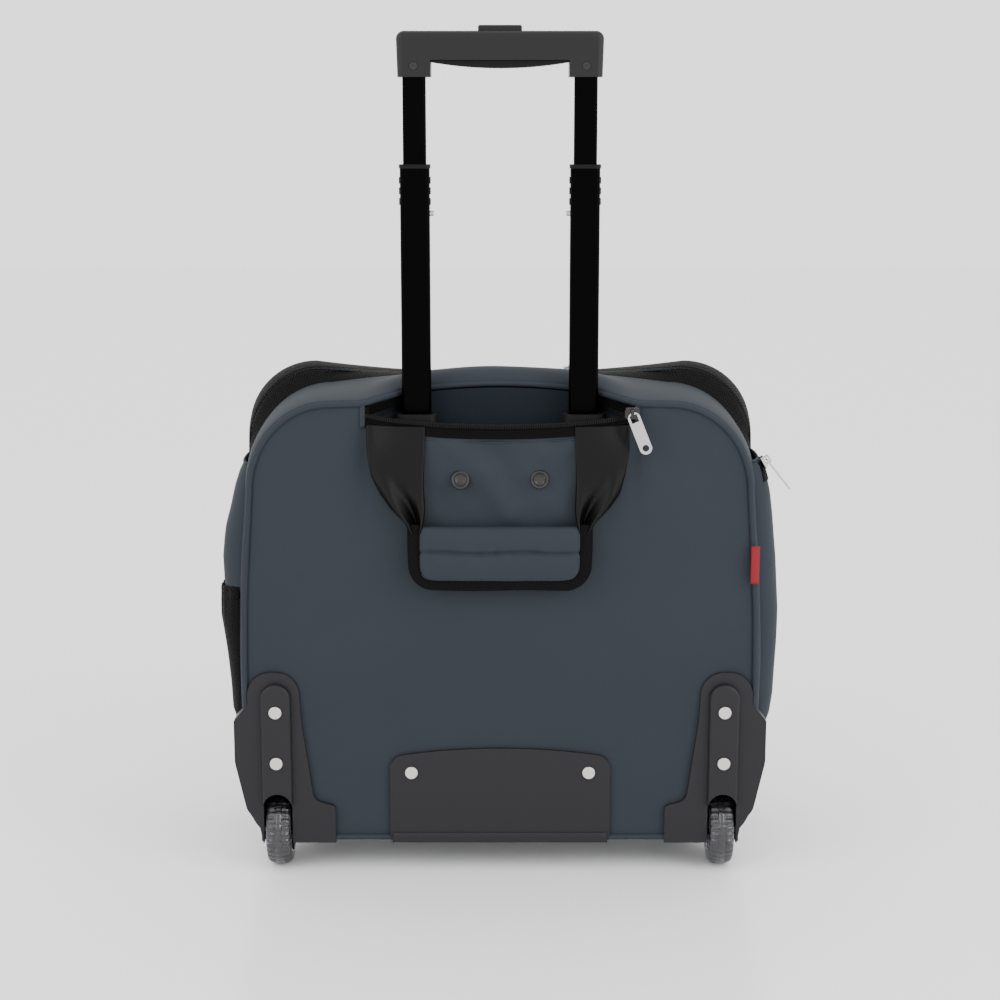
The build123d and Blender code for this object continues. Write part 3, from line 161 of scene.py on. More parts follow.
M_SOFT = moulded("grip_soft", (0.0038, 0.0038, 0.0040), 0.62, Specular_IOR_Level=0.14)
M_TUBE = plain("tube_metal", (0.0002, 0.0002, 0.0003), 0.2, Specular_IOR_Level=0.03)
M_RIVET = plain("rivet_metal", (0.62, 0.60, 0.57), 0.40, 1.0)
M_NICKEL = plain("dark_nickel", (0.045, 0.042, 0.042), 0.3, 1.0)
M_ZIP = plain("zip_metal", (0.50, 0.50, 0.51), 0.26, 1.0)
M_STEEL = plain("steel", (0.45, 0.45, 0.46), 0.3, 1.0)
M_CORE = plain("wheel_plastic", (0.0022, 0.0020, 0.0032), 0.25, Specular_IOR_Level=0.3)
M_TYRE = plain("tyre_clear", (0.44, 0.44, 0.49), 0.06, Transmission_Weight=0.95, IOR=1.47)
SLOTS = {
    "bag_cloth": M_CLOTH, "lining": M_LINING, "black_cloth": M_BLACK, "webbing": M_WEB,
    "label_cloth": M_LABEL, "board": M_BOARD, "guard_plastic": M_GUARD, "black_plastic": M_PLASTIC,
    "grip_plastic": M_GRIP, "grip_soft": M_SOFT, "tube_metal": M_TUBE, "rivet_metal": M_RIVET,
    "dark_nickel": M_NICKEL, "zip_metal": M_ZIP, "steel": M_STEEL, "wheel_plastic": M_CORE,
    "tyre_clear": M_TYRE,
}


# ---------------------------------------------------------------- mesh helpers
def smooth(mesh, angle=None):
    mesh.polygons.foreach_set("use_smooth", [True] * len(mesh.polygons))
    if angle is not None:
        mesh.set_sharp_from_angle(angle=math.radians(angle))


def piece(name, verts, faces, body, slot, mat=None, uv=None, angle=None, replaces=()):
    """A named mesh in the CAD frame that rides on a CAD body."""
    mesh = bpy.data.meshes.new(name)
    mesh.from_pydata([tuple(c * MM for c in v) for v in verts], [], faces)
    mesh.validate()
    if uv is not None:
        layer = mesh.uv_layers.new(name="arc")
        index = np.zeros(len(mesh.loops), int)
        mesh.loops.foreach_get("vertex_index", index)
        layer.data.foreach_set("uv", np.asarray(uv)[index].astype(np.float32).ravel())
    smooth(mesh, angle)
    obj = bpy.data.objects.new(name, mesh)
    bpy.context.scene.collection.objects.link(obj)
    mesh.materials.append(mat or SLOTS[slot])
    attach(obj, body)
    if replaces:
        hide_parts(*replaces)
    return obj


def modify(obj, kind, **values):
    mod = obj.modifiers.new(kind.lower(), kind)
    for key, value in values.items():
        setattr(mod, key, value)
    return mod


def thicken(obj, mm, inward=True):
    return modify(obj, "SOLIDIFY", thickness=mm * MM, offset=-1.0 if inward else 1.0)


def arc_lengths(rows):
    """Arc length along each row and down the columns, as UVs in millimetres."""
    rows = np.asarray(rows, float)
    across = np.linalg.norm(np.diff(rows, axis=1), axis=2).mean(0)
    down = np.linalg.norm(np.diff(rows, axis=0), axis=2).mean(1)
    u = np.concatenate([[0.0], np.cumsum(across)])
    v = np.concatenate([[0.0], np.cumsum(down)])
    return np.stack(np.meshgrid(u, v), axis=2).reshape(-1, 2)


def grid_faces(n, m, closed=False, keep=None):
    faces = []
    for i in range(n - 1):
        for j in range(m if closed else m - 1):
            if keep is not None and not keep(i, j):
                continue
            k = (j + 1) % m
            faces.append((i * m + j, i * m + k, (i + 1) * m + k, (i + 1) * m + j))
    return faces


def grid(name, rows, body, slot, closed=False, keep=None, flip=False, **more):
    """A surface through rows of points; keep(i, j) says which cells it has."""
    rows = np.asarray(rows, float)
    n, m = rows.shape[:2]
    faces = grid_faces(n, m, closed, keep)
    if flip:
        faces = [f[::-1] for f in faces]
    return piece(name, rows.reshape(-1, 3), faces, body, slot, uv=arc_lengths(rows), **more)


def frames_along(path, up, closed=False):
    """Tangent, side and up directions at each point of a path."""
    path = np.asarray(path, float)
    if closed:
        tangent = np.roll(path, -1, 0) - np.roll(path, 1, 0)
    else:
        tangent = np.gradient(path, axis=0)
    tangent /= np.linalg.norm(tangent, axis=1)[:, None]
    up = np.broadcast_to(np.asarray(up, float), path.shape)
    side = np.cross(tangent, up)
    side /= np.linalg.norm(side, axis=1)[:, None]
    top = np.cross(side, tangent)
    return tangent, side, top


def sweep(name, path, section, up, body, slot, closed=False, ends=True, **more):
    """A closed section (side, up pairs) carried along a path."""
    path = np.asarray(path, float)
    _, side, top = frames_along(path, up, closed)
    rows = [[p + s * a + t * b for a, b in section] for p, s, t in zip(path, side, top)]
    rows = np.asarray(rows)
    n, m = rows.shape[:2]
    verts = rows.reshape(-1, 3)
    faces = []
    for i in range(n if closed else n - 1):
        for j in range(m):
            i2, j2 = (i + 1) % n, (j + 1) % m
            faces.append((i * m + j, i * m + j2, i2 * m + j2, i2 * m + j))
    if ends and not closed:
        faces += [tuple(range(m))[::-1], tuple((n - 1) * m + j for j in range(m))]
    uv = arc_lengths(rows)
    return piece(name, verts, faces, body, slot, uv=uv, **more)


def round_section(r, n=12):
    steps = [2 * math.pi * k / n for k in range(n)]
    return [(r * math.cos(a), r * math.sin(a)) for a in steps]


def flat_section(w, t, edge=0.35):
    """A flat band w wide and t thick with eased corners."""
    a, b, e = w / 2, t / 2, min(edge, t / 2.2)
    low = [(-a, -b + e), (-a + e, -b), (a - e, -b), (a, -b + e)]
    return low + [(a, b - e), (a - e, b), (-a + e, b), (-a, b - e)]


def lathe(name, profile, origin, axis, body, slot, n=48, **more):
    """A profile of (distance along axis, radius) turned about the axis at origin."""
    axis = Vector(axis).normalized()
    side = axis.orthogonal().normalized()
    other = axis.cross(side)
    origin = Vector(origin)
    rows = []
    for along, radius in profile:
        centre = origin + axis * along
        steps = [2 * math.pi * k / n for k in range(n)]
        rows.append([centre + (side * math.cos(a) + other * math.sin(a)) * max(radius, 1e-3) for a in steps])
    return grid(name, rows, body, slot, closed=True, **more)


def resample(points, n, closed=False):
    """n points evenly spaced along a polyline."""
    pts = np.asarray(points, float)
    if closed:
        pts = np.vstack([pts, pts[:1]])
    seg = np.linalg.norm(np.diff(pts, axis=0), axis=1)
    s = np.concatenate([[0.0], np.cumsum(seg)])
    t = np.linspace(0.0, s[-1], n + 1)[:-1] if closed else np.linspace(0.0, s[-1], n)
    return np.stack([np.interp(t, s, pts[:, k]) for k in range(pts.shape[1])], axis=1)


def ease(t):
    t = np.clip(t, 0.0, 1.0)
    return t * t * (3 - 2 * t)


def wobble(x, y, z, size, seed=0.0):
    return noise.noise(Vector((x / size + seed, y / size - seed, z / size + 2 * seed)))


# ---------------------------------------------------------------- bag outlines
def half_outline(foot, brow, bottom, shoulder, crown, r_foot, rx, rz, belly=0.0):
    """Right half of a bag outline in (x, z), from the bottom's middle to the crown's."""
    pts = [(foot - r_foot) * k / 14 for k in range(14)]
    out = [(x, bottom) for x in pts]
    for k in range(8):
        a = math.pi / 2 * k / 8
        out.append((foot - r_foot + r_foot * math.sin(a), bottom + r_foot - r_foot * math.cos(a)))
    low, high = bottom + r_foot, shoulder - rz
    for z in [low] + [BASE_Z + (high - BASE_Z) * k / 29 for k in range(29)]:
        t = (z - low) / (high - low)
        out.append((foot + (brow - foot) * t + belly * math.sin(math.pi * t), z))
    for k in range(18):
        a = math.pi / 2 * k / 18
        out.append((brow - rx + rx * math.cos(a), high + rz * math.sin(a)))
    half = brow - rx
    for k in range(31):
        t = k / 30
        out.append((half * (1 - t), shoulder + (crown - shoulder) * (1 - (1 - t) ** 2)))
    return out


def outline(*args, **kw):
    """A whole outline, anticlockwise from the bottom's middle, seen from the rear."""
    half = half_outline(*args, **kw)
    left = [(-x, z) for x, z in half[1:-1]][::-1]
    return np.array(half + left)


def at_depth(xz, y):
    y = np.broadcast_to(y, len(xz))
    return np.stack([xz[:, 0], y, xz[:, 1]], axis=1)


def mouth_share(x):
    """1 in the middle of the pocket's mouth, 0 beyond its ends."""
    return ease((MOUTH + 3.0 - np.abs(x)) / 46.0)


REAR_XZ = outline(199, 195, 28, 379.5, 381, 28, 63, 70, belly=5)
SEAM_XZ = outline(203, 201, 28, 384, 393, 28, 66, 74, belly=7)
ZIP_XZ = outline(204, 204.5, 28, 394.5, 388.5, 28, 58, 62, belly=4)
BAND_XZ = outline(203, 205.5, 28, 397, 387, 28, 54, 54, belly=2)
FRONT_XZ = outline(200, 198, 31, 371, 373, 26, 50, 50, belly=1)


def rear_edge():
    """The seam round the rear panel; over the pocket's mouth it steps in behind the tubes."""
    edge = at_depth(REAR_XZ, REAR_Y)
    top = edge[:, 2] > LEAST_Z
    share = np.where(top, mouth_share(edge[:, 0]), 0.0)
    edge[:, 1] += 34.0 * share
    rise = np.sin(np.pi / 2 * np.clip(1 - np.abs(edge[:, 0]) / (MOUTH + 3.0), 0, 1))
    edge[:, 2] += np.where(top, 10.5 * rise**0.9, 0.0)
    return edge


REAR_EDGE = rear_edge()


def ring_to(first, last, n, bulge, power=1.0):
    """Rows between two edge curves, with an outward bulge given per point."""
    centre = np.array([0.0, 0.0, MIDDLE_Z])
    out = (first + last) / 2 - centre
    out[:, 1] = 0.0
    out /= np.linalg.norm(out, axis=1)[:, None]
    rows = []
    for i in range(n):
        t = i / (n - 1)
        rows.append(first + (last - first) * t + out * (bulge * math.sin(math.pi * t**power))[:, None])
    return np.array(rows)


def soften(rows, size, amount, skip=1):
    """Small smooth irregularities, fading out at the first and last rows."""
    n = len(rows)
    for i in range(skip, n - skip):
        fade = min(1.0, 3.0 * math.sin(math.pi * i / (n - 1)))
        for j, p in enumerate(rows[i]):
            d = amount * fade * wobble(p[0], p[1], p[2], size)
            away = Vector((p[0], 0.0, p[2] - MIDDLE_Z)).normalized()
            rows[i, j] = p + np.array(away) * d
    return rows


N_RING = len(REAR_XZ)
FOOT = 23  # ring index where an outline crosses the base line
seam_edge = at_depth(SEAM_XZ, SEAM_Y)
zip_edge = at_depth(ZIP_XZ, ZIP_Y)
band_edge = at_depth(BAND_XZ, BAND_Y)
front_edge = at_depth(FRONT_XZ, FRONT_Y)


# ---------------------------------------------------------------- rear gusset and crown
def in_wheel_bay(p):
    return 163.0 < abs(p[0]) < 193.5 and p[1] < -38.0 and p[2] < 66.0


roof = np.where(REAR_EDGE[:, 2] > LEAST_Z, mouth_share(REAR_EDGE[:, 0]), 0.0)
gusset_rows = soften(ring_to(REAR_EDGE, seam_edge, 25, 2.5 + 5.5 * roof, 0.7), 60.0, 1.2)
rear_gusset = grid(
    "rear_gusset_cloth", gusset_rows, "case", "bag_cloth", closed=True,
    keep=lambda i, j: not in_wheel_bay((gusset_rows[i, j] + gusset_rows[i + 1, j]) / 2),
    replaces=("rear_gusset",),
)
thicken(rear_gusset, 2.4)

piping_path = REAR_EDGE + np.array([0.0, -0.6, 0.0])
keep_piping = resample(piping_path, 420, closed=True)
sweep(
    "rear_piping_roll", keep_piping, round_section(2.3, 10), (0, -1, 0), "case", "bag_cloth",
    closed=True, replaces=("rear_piping",),
)


# ---------------------------------------------------------------- rear panel with the slack pocket front
def half_width(z):
    """Half width of the rear panel at a height."""
    right = REAR_XZ[RIGHT_SIDE]
    return float(np.interp(z, right[:, 1], right[:, 0]))


def lip_z(x):
    """Top edge of the slack pocket front."""
    return 357.0 + 7.0 * (np.abs(x) / MOUTH) ** 2


def fold(x, z, x0, z0, x1, z1, width, height):
    """A soft crease or ridge along a segment."""
    dx, dz = x1 - x0, z1 - z0
    t = np.clip(((x - x0) * dx + (z - z0) * dz) / (dx * dx + dz * dz), 0.0, 1.0)
    d2 = (x - x0 - t * dx) ** 2 + (z - z0 - t * dz) ** 2
    return height * np.exp(-d2 / (2 * width * width))


FOLDS = (
    (-44, 352, -14, 330, 7, 2.6), (-14, 330, 6, 296, 7, 3.2), (-6, 345, 18, 314, 6, -2.4),
    (12, 326, 32, 344, 5, 2.2), (40, 316, 52, 336, 5, -2.0), (-52, 318, -38, 300, 7, -2.2),
    (22, 318, 48, 300, 8, 1.4), (-36, 314, -8, 296, 8, -1.4), (-20, 356, 24, 352, 6, 1.0),
)


def panel_y(x, z):
    """Depth of the rear panel's face; negative is towards the rear."""
    edge = max(half_width(z) - abs(x), 0.0)
    plump = ease((z - 118.0) / 70.0) * ease((372.0 - z) / 60.0) * ease((edge - 2.0) / 60.0)
    lean = ease((z - 238.0) / 30.0) * (max(z - 240.0, 0.0) / 117.0) ** 1.2
    across = max(1.0 - (abs(x) / MOUTH) ** 5, 0.0)
    y = REAR_Y - 3.2 * plump - 11.5 * lean * across
    if abs(x) < MOUTH and z > 270.0:
        for x0, z0, x1, z1, w, h in FOLDS:
            y -= fold(x, z, x0, z0, x1, z1, w, h) * across
    pull_in = fold(abs(x), z, 84, 300, 104, 352, 10, 1.6) + fold(abs(x), z, 112, 330, 118, 372, 7, -1.2)
    y += pull_in + 0.9 * ease((z - 170) / 60) * wobble(x, 0, z, 55.0, 3.0)
    return y


def panel_rows():
    low, high = 29.0, 379.0
    heights = [low + (high - low) * (1 - math.cos(math.pi * k / 110)) / 2 for k in range(111)]
    inner = list(np.linspace(-MOUTH, MOUTH, 57))
    rows = []
    for z in heights:
        w = half_width(z)
        wing = [MOUTH + (w - MOUTH) * (k / 24) for k in range(1, 25)]
        xs = [-x for x in wing[::-1]] + inner + wing
        row = []
        for x in xs:
            zz = z
            if abs(x) < MOUTH + 0.01 and z > 250:
                zz = z + (lip_z(x) - 362.0) * ease((z - 250.0) / 110.0)
            row.append((x, panel_y(x, zz), zz))
        rows.append(row)
    return np.array(rows), heights


PANEL, HEIGHTS = panel_rows()
LIP_ROW = int(np.argmin(np.abs(np.array(HEIGHTS) - 362.0)))
for j in range(24, 81):
    x = PANEL[LIP_ROW, j, 0]
    PANEL[LIP_ROW, j] = (x, panel_y(x, lip_z(x)), lip_z(x))


def panel_keep(i, j):
    c = PANEL[i : i + 2, j : j + 2].reshape(-1, 3).mean(0)
    if 24 <= j < 80 and i >= LIP_ROW:
        return False
    return not (164.0 < abs(c[0]) < 192.0 and c[2] < 68.0)


rear_panel = grid(
    "rear_panel_cloth", PANEL, "case", "bag_cloth", keep=panel_keep, replaces=("rear_panel", "pocket_front"),
)
thicken(rear_panel, 1.6)


# ---------------------------------------------------------------- handle pocket: zip tapes, lining, cheeks
def lip_point(x, up=0.0, out=0.0):
    z = lip_z(x)
    return np.array([x, panel_y(x, z) - out, z + up])


lip_x = np.linspace(-MOUTH, MOUTH, 90)


def teeth(name, path, up, across, body, pitch=1.7, size=(0.5, 1.3, 0.6), lift=0.0, phase=0.0, **more):
    """A row of small zip teeth; size is half length, half width and half height."""
    path = np.asarray(path, float)
    n = max(int(np.linalg.norm(np.diff(path, axis=0), axis=1).sum() / pitch), 2)
    pts = resample(path, n)
    up = np.asarray(up, float)
    if up.ndim == 2:
        new, old = np.linspace(0, 1, n), np.linspace(0, 1, len(up))
        up = np.stack([np.interp(new, old, up[:, k]) for k in range(3)], 1)
    tangent, side, top = frames_along(pts, up)
    pts = pts + tangent * phase + side * across + top * lift
    a, b, c = size
    corners = [(sx * a, sy * b, sz * c) for sx in (-1, 1) for sy in (-1, 1) for sz in (-1, 1)]
    cube = [(0, 1, 3, 2), (4, 6, 7, 5), (0, 4, 5, 1), (2, 3, 7, 6), (0, 2, 6, 4), (1, 5, 7, 3)]
    verts, faces = [], []
    for p, t, s, u in zip(pts, tangent, side, top):
        base = len(verts)
        verts += [p + t * i + s * j + u * k for i, j, k in corners]
        faces += [tuple(base + v for v in f) for f in cube]
    return piece(name, verts, faces, body, "black_cloth", M_PLASTIC, angle=30, **more)


TAPE_W = 8.0
tape_rows = []
for up in np.linspace(-2.0, TAPE_W, 8):
    tape_rows.append([lip_point(x, up, 1.1 - 0.10 * max(up, 0)) for x in lip_x])
lower_tape = grid(
    "pocket_tape_lower", tape_rows, "case", "black_cloth", mat=M_TAPE, replaces=("pocket_zip_tapes",),
)
thicken(lower_tape, 0.9)
lower_line = [lip_point(x, TAPE_W - 0.4, 0.6) for x in lip_x]
teeth("pocket_teeth_lower", lower_line, (0, -1, 0), 0.0, "case", size=(0.55, 1.5, 0.9))
stitch = [lip_point(x, -4.6, 0.1) for x in lip_x[2:-2]]
sweep("pocket_lip_fold", stitch, round_section(0.55, 6), (0, -1, 0), "case", "bag_cloth")

crown_idx = [j for j in range(N_RING) if abs(REAR_EDGE[j, 0]) <= MOUTH + 1 and REAR_EDGE[j, 2] > LEAST_Z]
crown = resample(REAR_EDGE[crown_idx], 90)
upper_rows = []
for down in np.linspace(0.0, 10.0, 8):
    upper_rows.append(crown + np.array([0.0, -1.0 + 0.02 * down, -down - 1.5]))
upper_tape = grid("pocket_tape_upper", upper_rows, "case", "black_cloth", mat=M_TAPE)
thicken(upper_tape, 0.9)
upper_line = crown + np.array([0, -1.0, -11.3])
teeth("pocket_teeth_upper", upper_line, (0, -1, 0), 0.0, "case", size=(0.55, 1.5, 0.9))

lining_rows = []
for t in np.linspace(0.0, 1.0, 26):
    row = []
    for p in crown:
        z = 250.0 + (p[2] - 3.0 - 250.0) * t
        y = p[1] + 1.9 + 0.5 * wobble(p[0], 0, z, 30.0, 7.0) - 0.6
        row.append((p[0], min(y, -60.0), z))
    lining_rows.append(row)
grid("pocket_lining", lining_rows, "case", "bag_cloth", mat=M_LINING, flip=True)

for side, tag in SIDE_NAMES:
    x = side * MOUTH
    seam = [(x + side * 1.2, REAR_Y - 0.9, z) for z in np.linspace(362.0, 379.5, 14)]
    sweep(f"pocket_end_{tag}", seam, flat_section(4.0, 1.6), (0, -1, 0), "case", "bag_cloth")
    stop = [(side * (MOUTH - 1.5), REAR_Y - 0.4, z) for z in np.linspace(364.5, 378.0, 10)]
    sweep(f"pocket_stop_{tag}", stop, flat_section(6.0, 1.2), (0, -1, 0), "case", "black_cloth", mat=M_BLACK)


# ---------------------------------------------------------------- zip band round the case
def open_ring(edge, upper):
    """The part of a ring above the base line, or below it."""
    if upper:
        return edge[FOOT : N_RING - FOOT + 1]
    return np.vstack([edge[N_RING - FOOT :], edge[: FOOT + 1]])


band_rear = ring_to(seam_edge, zip_edge - np.array([0, 0.25, 0]), 9, np.full(N_RING, 0.8))
grid("zip_band_rear_cloth", band_rear, "case", "black_cloth", closed=True, replaces=("zip_band_rear",))
thicken(bpy.data.objects["zip_band_rear_cloth"], 2.2)
zip_front_edge = zip_edge + np.array([0, 0.45, 0])
band_front = ring_to(zip_front_edge, band_edge, 9, np.full(N_RING, 0.8))
for upper, body, tag, gone in (
    (True, "front_section", "front", ("zip_band_front",)),
    (False, "case", "base", ()),
):
    rows = np.array([open_ring(r, upper) for r in band_front])
    obj = grid(f"zip_band_{tag}_cloth", rows, body, "black_cloth", replaces=gone)
    thicken(obj, 2.2)


def outward(path):
    out = np.asarray(path) - np.array([0.0, 0.0, SEAM_MIDDLE_Z])
    out[:, 1] = 0.0
    return out / np.linalg.norm(out, axis=1)[:, None]


zip_line = open_ring(zip_edge, True)
zip_up = outward(zip_line)
TOOTH = dict(pitch=2.2, size=(0.6, 1.5, 0.6), lift=0.5)
teeth("main_teeth_rear", zip_line - np.array([0, 0.9, 0]), zip_up, 0.0, "case", **TOOTH)
teeth("main_teeth_front", zip_line + np.array([0, 1.3, 0]), zip_up, 0.0, "front_section", phase=1.1, **TOOTH)
for dy, body, tag in ((-6.5, "case", "rear"), (7.2, "front_section", "front")):
    line = resample(zip_line + np.array([0, dy, 0]) + zip_up * 1.1, 260)
    sweep(f"zip_edge_{tag}", line, flat_section(1.6, 0.7), outward(line), body, "black_cloth")
line = resample(open_ring(seam_edge, True), 260)
sweep("seam_cord", line + outward(line) * 0.3, round_section(1.1, 8), outward(line), "case", "bag_cloth")


# ---------------------------------------------------------------- front section
front_rows = soften(ring_to(band_edge, front_edge, 18, np.full(N_RING, 1.8)), 70.0, 1.2)
for upper, body, tag in ((True, "front_section", "front_gusset"), (False, "case", "front_base")):
    rows = np.array([open_ring(r, upper) for r in front_rows])
    obj = grid(f"{tag}_cloth", rows, body, "bag_cloth", replaces=(tag,))
    thicken(obj, 2.4)


def disc_rows(loop, centre, bulge, n=22, power=2.2):
    """Rows that shrink a closed loop onto a centre and lift it into a crown along +Y."""
    loop = np.asarray(loop, float)
    centre = np.asarray(centre, float)
    rows = []
    for i in range(n):
        r = 1.0 - i / (n - 1) * 0.985
        p = centre + (loop - centre) * r
        p[:, 1] += bulge * (1 - r**power)
        rows.append(p)
    return np.array(rows)


def close_disc(obj):
    """Fill the small hole left in the middle of a disc of shrinking loops."""
    bm = bmesh.new()
    bm.from_mesh(obj.data)
    rim = [e for e in bm.edges if e.is_boundary and e.calc_length() < 0.004]
    bmesh.ops.holes_fill(bm, edges=rim, sides=0)
    bm.to_mesh(obj.data)
    bm.free()
    smooth(obj.data)


front_loop = open_ring(front_edge, True)
foot_x = np.linspace(front_loop[-1, 0], front_loop[0, 0], 60)[1:-1]
foot_line = np.array([(x, FRONT_Y, BASE_Z + 0.2) for x in foot_x])
panel_loop = np.vstack([front_loop, foot_line])
rows = disc_rows(panel_loop, (0, FRONT_Y, 215), 2.2)
front_panel = grid(
    "front_panel_cloth", rows, "front_section", "bag_cloth", closed=True, replaces=("front_panel",),
)
close_disc(front_panel)
lower = open_ring(front_edge, False)
tray = []
for t in np.linspace(0.0, 1.0, 8):
    top = np.array([(x, FRONT_Y, BASE_Z - 0.2) for x in np.linspace(lower[0, 0], lower[-1, 0], len(lower))])
    tray.append(lower * (1 - t) + top * t)
grid("front_base_face", np.array(tray), "case", "bag_cloth")
line = resample(front_loop, 260)
sweep("front_piping_roll", line, round_section(2.2, 10), (0, 1, 0), "front_section", "bag_cloth")
line = resample(lower, 130)
sweep("front_base_piping", line, round_section(2.2, 10), (0, 1, 0), "case", "bag_cloth")
side_line = [band_front[i][FOOT] for i in range(9)] + [front_rows[i][FOOT] for i in range(1, 18)]
for z, body, tag in ((BASE_Z + 2.6, "front_section", "upper"), (BASE_Z - 2.6, "case", "lower")):
    right_run = resample([(p[0] + 0.5, p[1], z) for p in side_line], 60)
    for side, part in SIDE_NAMES:
        run = right_run * (side, 1, 1)
        name = f"base_zip_{tag}_{part}"
        sweep(name, run, flat_section(4.6, 1.2), (side, 0, 0), body, "black_cloth", mat=M_TAPE)


# ---------------------------------------------------------------- side pockets
def gusset_x(y, z):
    """Half width of the case's side at a depth and height."""
    t = (y - REAR_Y) / (SEAM_Y - REAR_Y)
    rear = np.interp(z, REAR_XZ[RIGHT_SIDE, 1], REAR_XZ[RIGHT_SIDE, 0])
    seam = np.interp(z, SEAM_XZ[RIGHT_SIDE, 1], SEAM_XZ[RIGHT_SIDE, 0])
    return float(rear + (seam - rear) * t + 2.5 * math.sin(math.pi * t**0.75))


SIDE_Y = (-80.0, -14.0)
# how far out a pocket's face stands: heights, then half widths at them
RIGHT_REACH = (
    [108, 113, 122, 140, 177, 210, 252, 285, 305, 318, 328, 334],
    [207, 214, 219, 222, 223.4, 223.4, 221, 217.6, 215, 212, 208.5, 203],
)
LEFT_REACH = (
    [132, 160, 210, 232, 252, 266, 277, 293, 310, 322, 332],
    [208, 211.5, 217, 221.6, 222.6, 221.2, 219.5, 214.8, 211, 207, 202],
)


def pocket_point(side, s, z, reach, lift=0.0):
    """A point of a side pocket's face; s runs from its rear edge, 0, to its front edge, 1."""
    y = SIDE_Y[0] + (SIDE_Y[1] - SIDE_Y[0]) * s
    base = gusset_x(y, z)
    depth = max(float(np.interp(z, *reach)) - base, 0.5)
    across = (1 - abs(2 * s - 1) ** 2.4) ** 0.6
    sag = 0.9 * wobble(s * 60, side * 9, z, 42.0, 5.0) * across * min(depth / 8.0, 1.0)
    return (side * (base + 0.3 + depth * across + sag + lift * max(across, 0.2)), y, z)


def side_pocket(name, side, reach, z0, z1, gone, slot, mat=None, n=46, m=30, lift=0.0):
    rows = [
        [pocket_point(side, 0.5 - 0.5 * math.cos(math.pi * j / (m - 1)), z, reach, lift) for j in range(m)]
        for z in np.linspace(z0, z1, n)
    ]
    obj = grid(name, rows, "case", slot, mat=mat, flip=side < 0, replaces=gone)
    thicken(obj, 1.6)
    return np.array(rows)


right = side_pocket("side_pocket_right_cloth", 1, RIGHT_REACH, 109, 333, ("side_pocket_right",), "bag_cloth")
left = side_pocket("side_pocket_left_cloth", -1, LEFT_REACH, 134, 331, ("side_pocket_left",), "bag_cloth")
for rows, tag in ((right, "right"), (left, "left")):
    border = resample(np.vstack([rows[:, 0], rows[-1], rows[::-1, -1], rows[0, ::-1]]), 260, closed=True)
    name = f"side_pocket_edge_{tag}"
    sweep(name, border, round_section(1.1, 8), outward(border), "case", "bag_cloth", closed=True)

# the zip across the right pocket's sloping top
zip_z = 323.0
strip = []
for z in np.linspace(315.5, 331.0, 7):
    strip.append([pocket_point(1, s, z, RIGHT_REACH, 0.9) for s in np.linspace(0.10, 0.90, 30)])
obj = grid("side_zip_tape", strip, "case", "black_cloth", mat=M_TAPE, replaces=("side_pocket_zip",))
thicken(obj, 0.8)
run = [pocket_point(1, s, zip_z + 2.5, RIGHT_REACH, 1.2) for s in np.linspace(0.12, 0.88, 40)]
teeth("side_zip_teeth", run, (1, 0, 0.4), 0.0, "case", size=(0.5, 1.4, 0.7))

# the elastic bottle pocket low on the left side
BOTTLE_REACH = ([112, 118, 128, 150, 177, 205, 222, 232], [207, 213, 217, 218.5, 221.0, 224.3, 224.0, 222.4])


def bottle_point(s, z, lift=0.0):
    x, y, _ = pocket_point(-1, s, z, BOTTLE_REACH)
    gather = 0.9 * math.sin(2 * math.pi * s * 7) * ease((z - 190) / 45) * (1 - abs(2 * s - 1) ** 4)
    dip = 8.0 * math.sin(math.pi * s) * ease((z - 190) / 45)
    return (x - gather - lift, y, z - dip * 0.6)


rows = [[bottle_point(s, z) for s in np.linspace(0, 1, 90)] for z in np.linspace(113, 232, 40)]
obj = grid(
    "bottle_pocket_mesh", rows, "case", "black_cloth", mat=M_MESH, flip=True, replaces=("bottle_pocket",),
)
thicken(obj, 1.2)
rim = [bottle_point(s, 227.5, -0.1) for s in np.linspace(0.01, 0.99, 120)]
sweep("bottle_binding", rim, flat_section(10.0, 1.4, 0.6), (-1, 0, 0), "case", "black_cloth", mat=M_BLACK)
border = [bottle_point(0.0, z) for z in np.linspace(232, 113, 40)]
border += [bottle_point(s, 113) for s in np.linspace(0, 1, 30)]
border += [bottle_point(1.0, z) for z in np.linspace(113, 232, 40)]
border = resample(border, 160)
sweep("bottle_edge", border, round_section(1.2, 8), outward(border), "case", "black_cloth")


# ---------------------------------------------------------------- label and snaps
label = []
for k in range(9):
    t = k / 8
    bow = math.sin(math.pi * t)
    x, y = 196.2 + 6.2 * t - 0.5 * bow, REAR_Y - 5.1 - 0.9 * bow
    label.append([(x, y, z) for z in np.linspace(239, 269, 14)])
obj = grid("side_label_cloth", label, "case", "label_cloth", replaces=("side_label",))
thicken(obj, 0.8)


def snap(side, tag):
    """Press stud: a rolled rim and a domed cap, square to the pocket's face."""
    x, z = side * 30.5, 323.0
    y = min(panel_y(x + dx, z + dz) for dx in (-6, 0, 6) for dz in (-6, 0, 6)) + 0.6
    slope = (panel_y(x, z + 5) - panel_y(x, z - 5)) / 10.0
    axis = Vector((0.0, -1.0, -slope)).normalized()
    rim = [(-3.0, 7.2), (0.0, 7.3), (0.9, 7.1), (1.3, 6.5), (1.2, 5.6), (0.7, 5.1), (0.8, 4.8)]
    cap = [(1.7, 4.6), (2.1, 4.1), (1.9, 3.5), (1.2, 3.2), (1.1, 2.4), (1.4, 1.6), (1.5, 0.0)]
    gone = ("snap_buttons",)
    return lathe(f"snap_cap_{tag}", rim + cap, (x, y, z), axis, "case", "dark_nickel", 48, replaces=gone)


for side, tag in SIDE_NAMES:
    snap(side, tag)


# ---------------------------------------------------------------- carry handle: folded straps and padded grip
STRAP_ROWS, STRAP_COLS = 60, 26


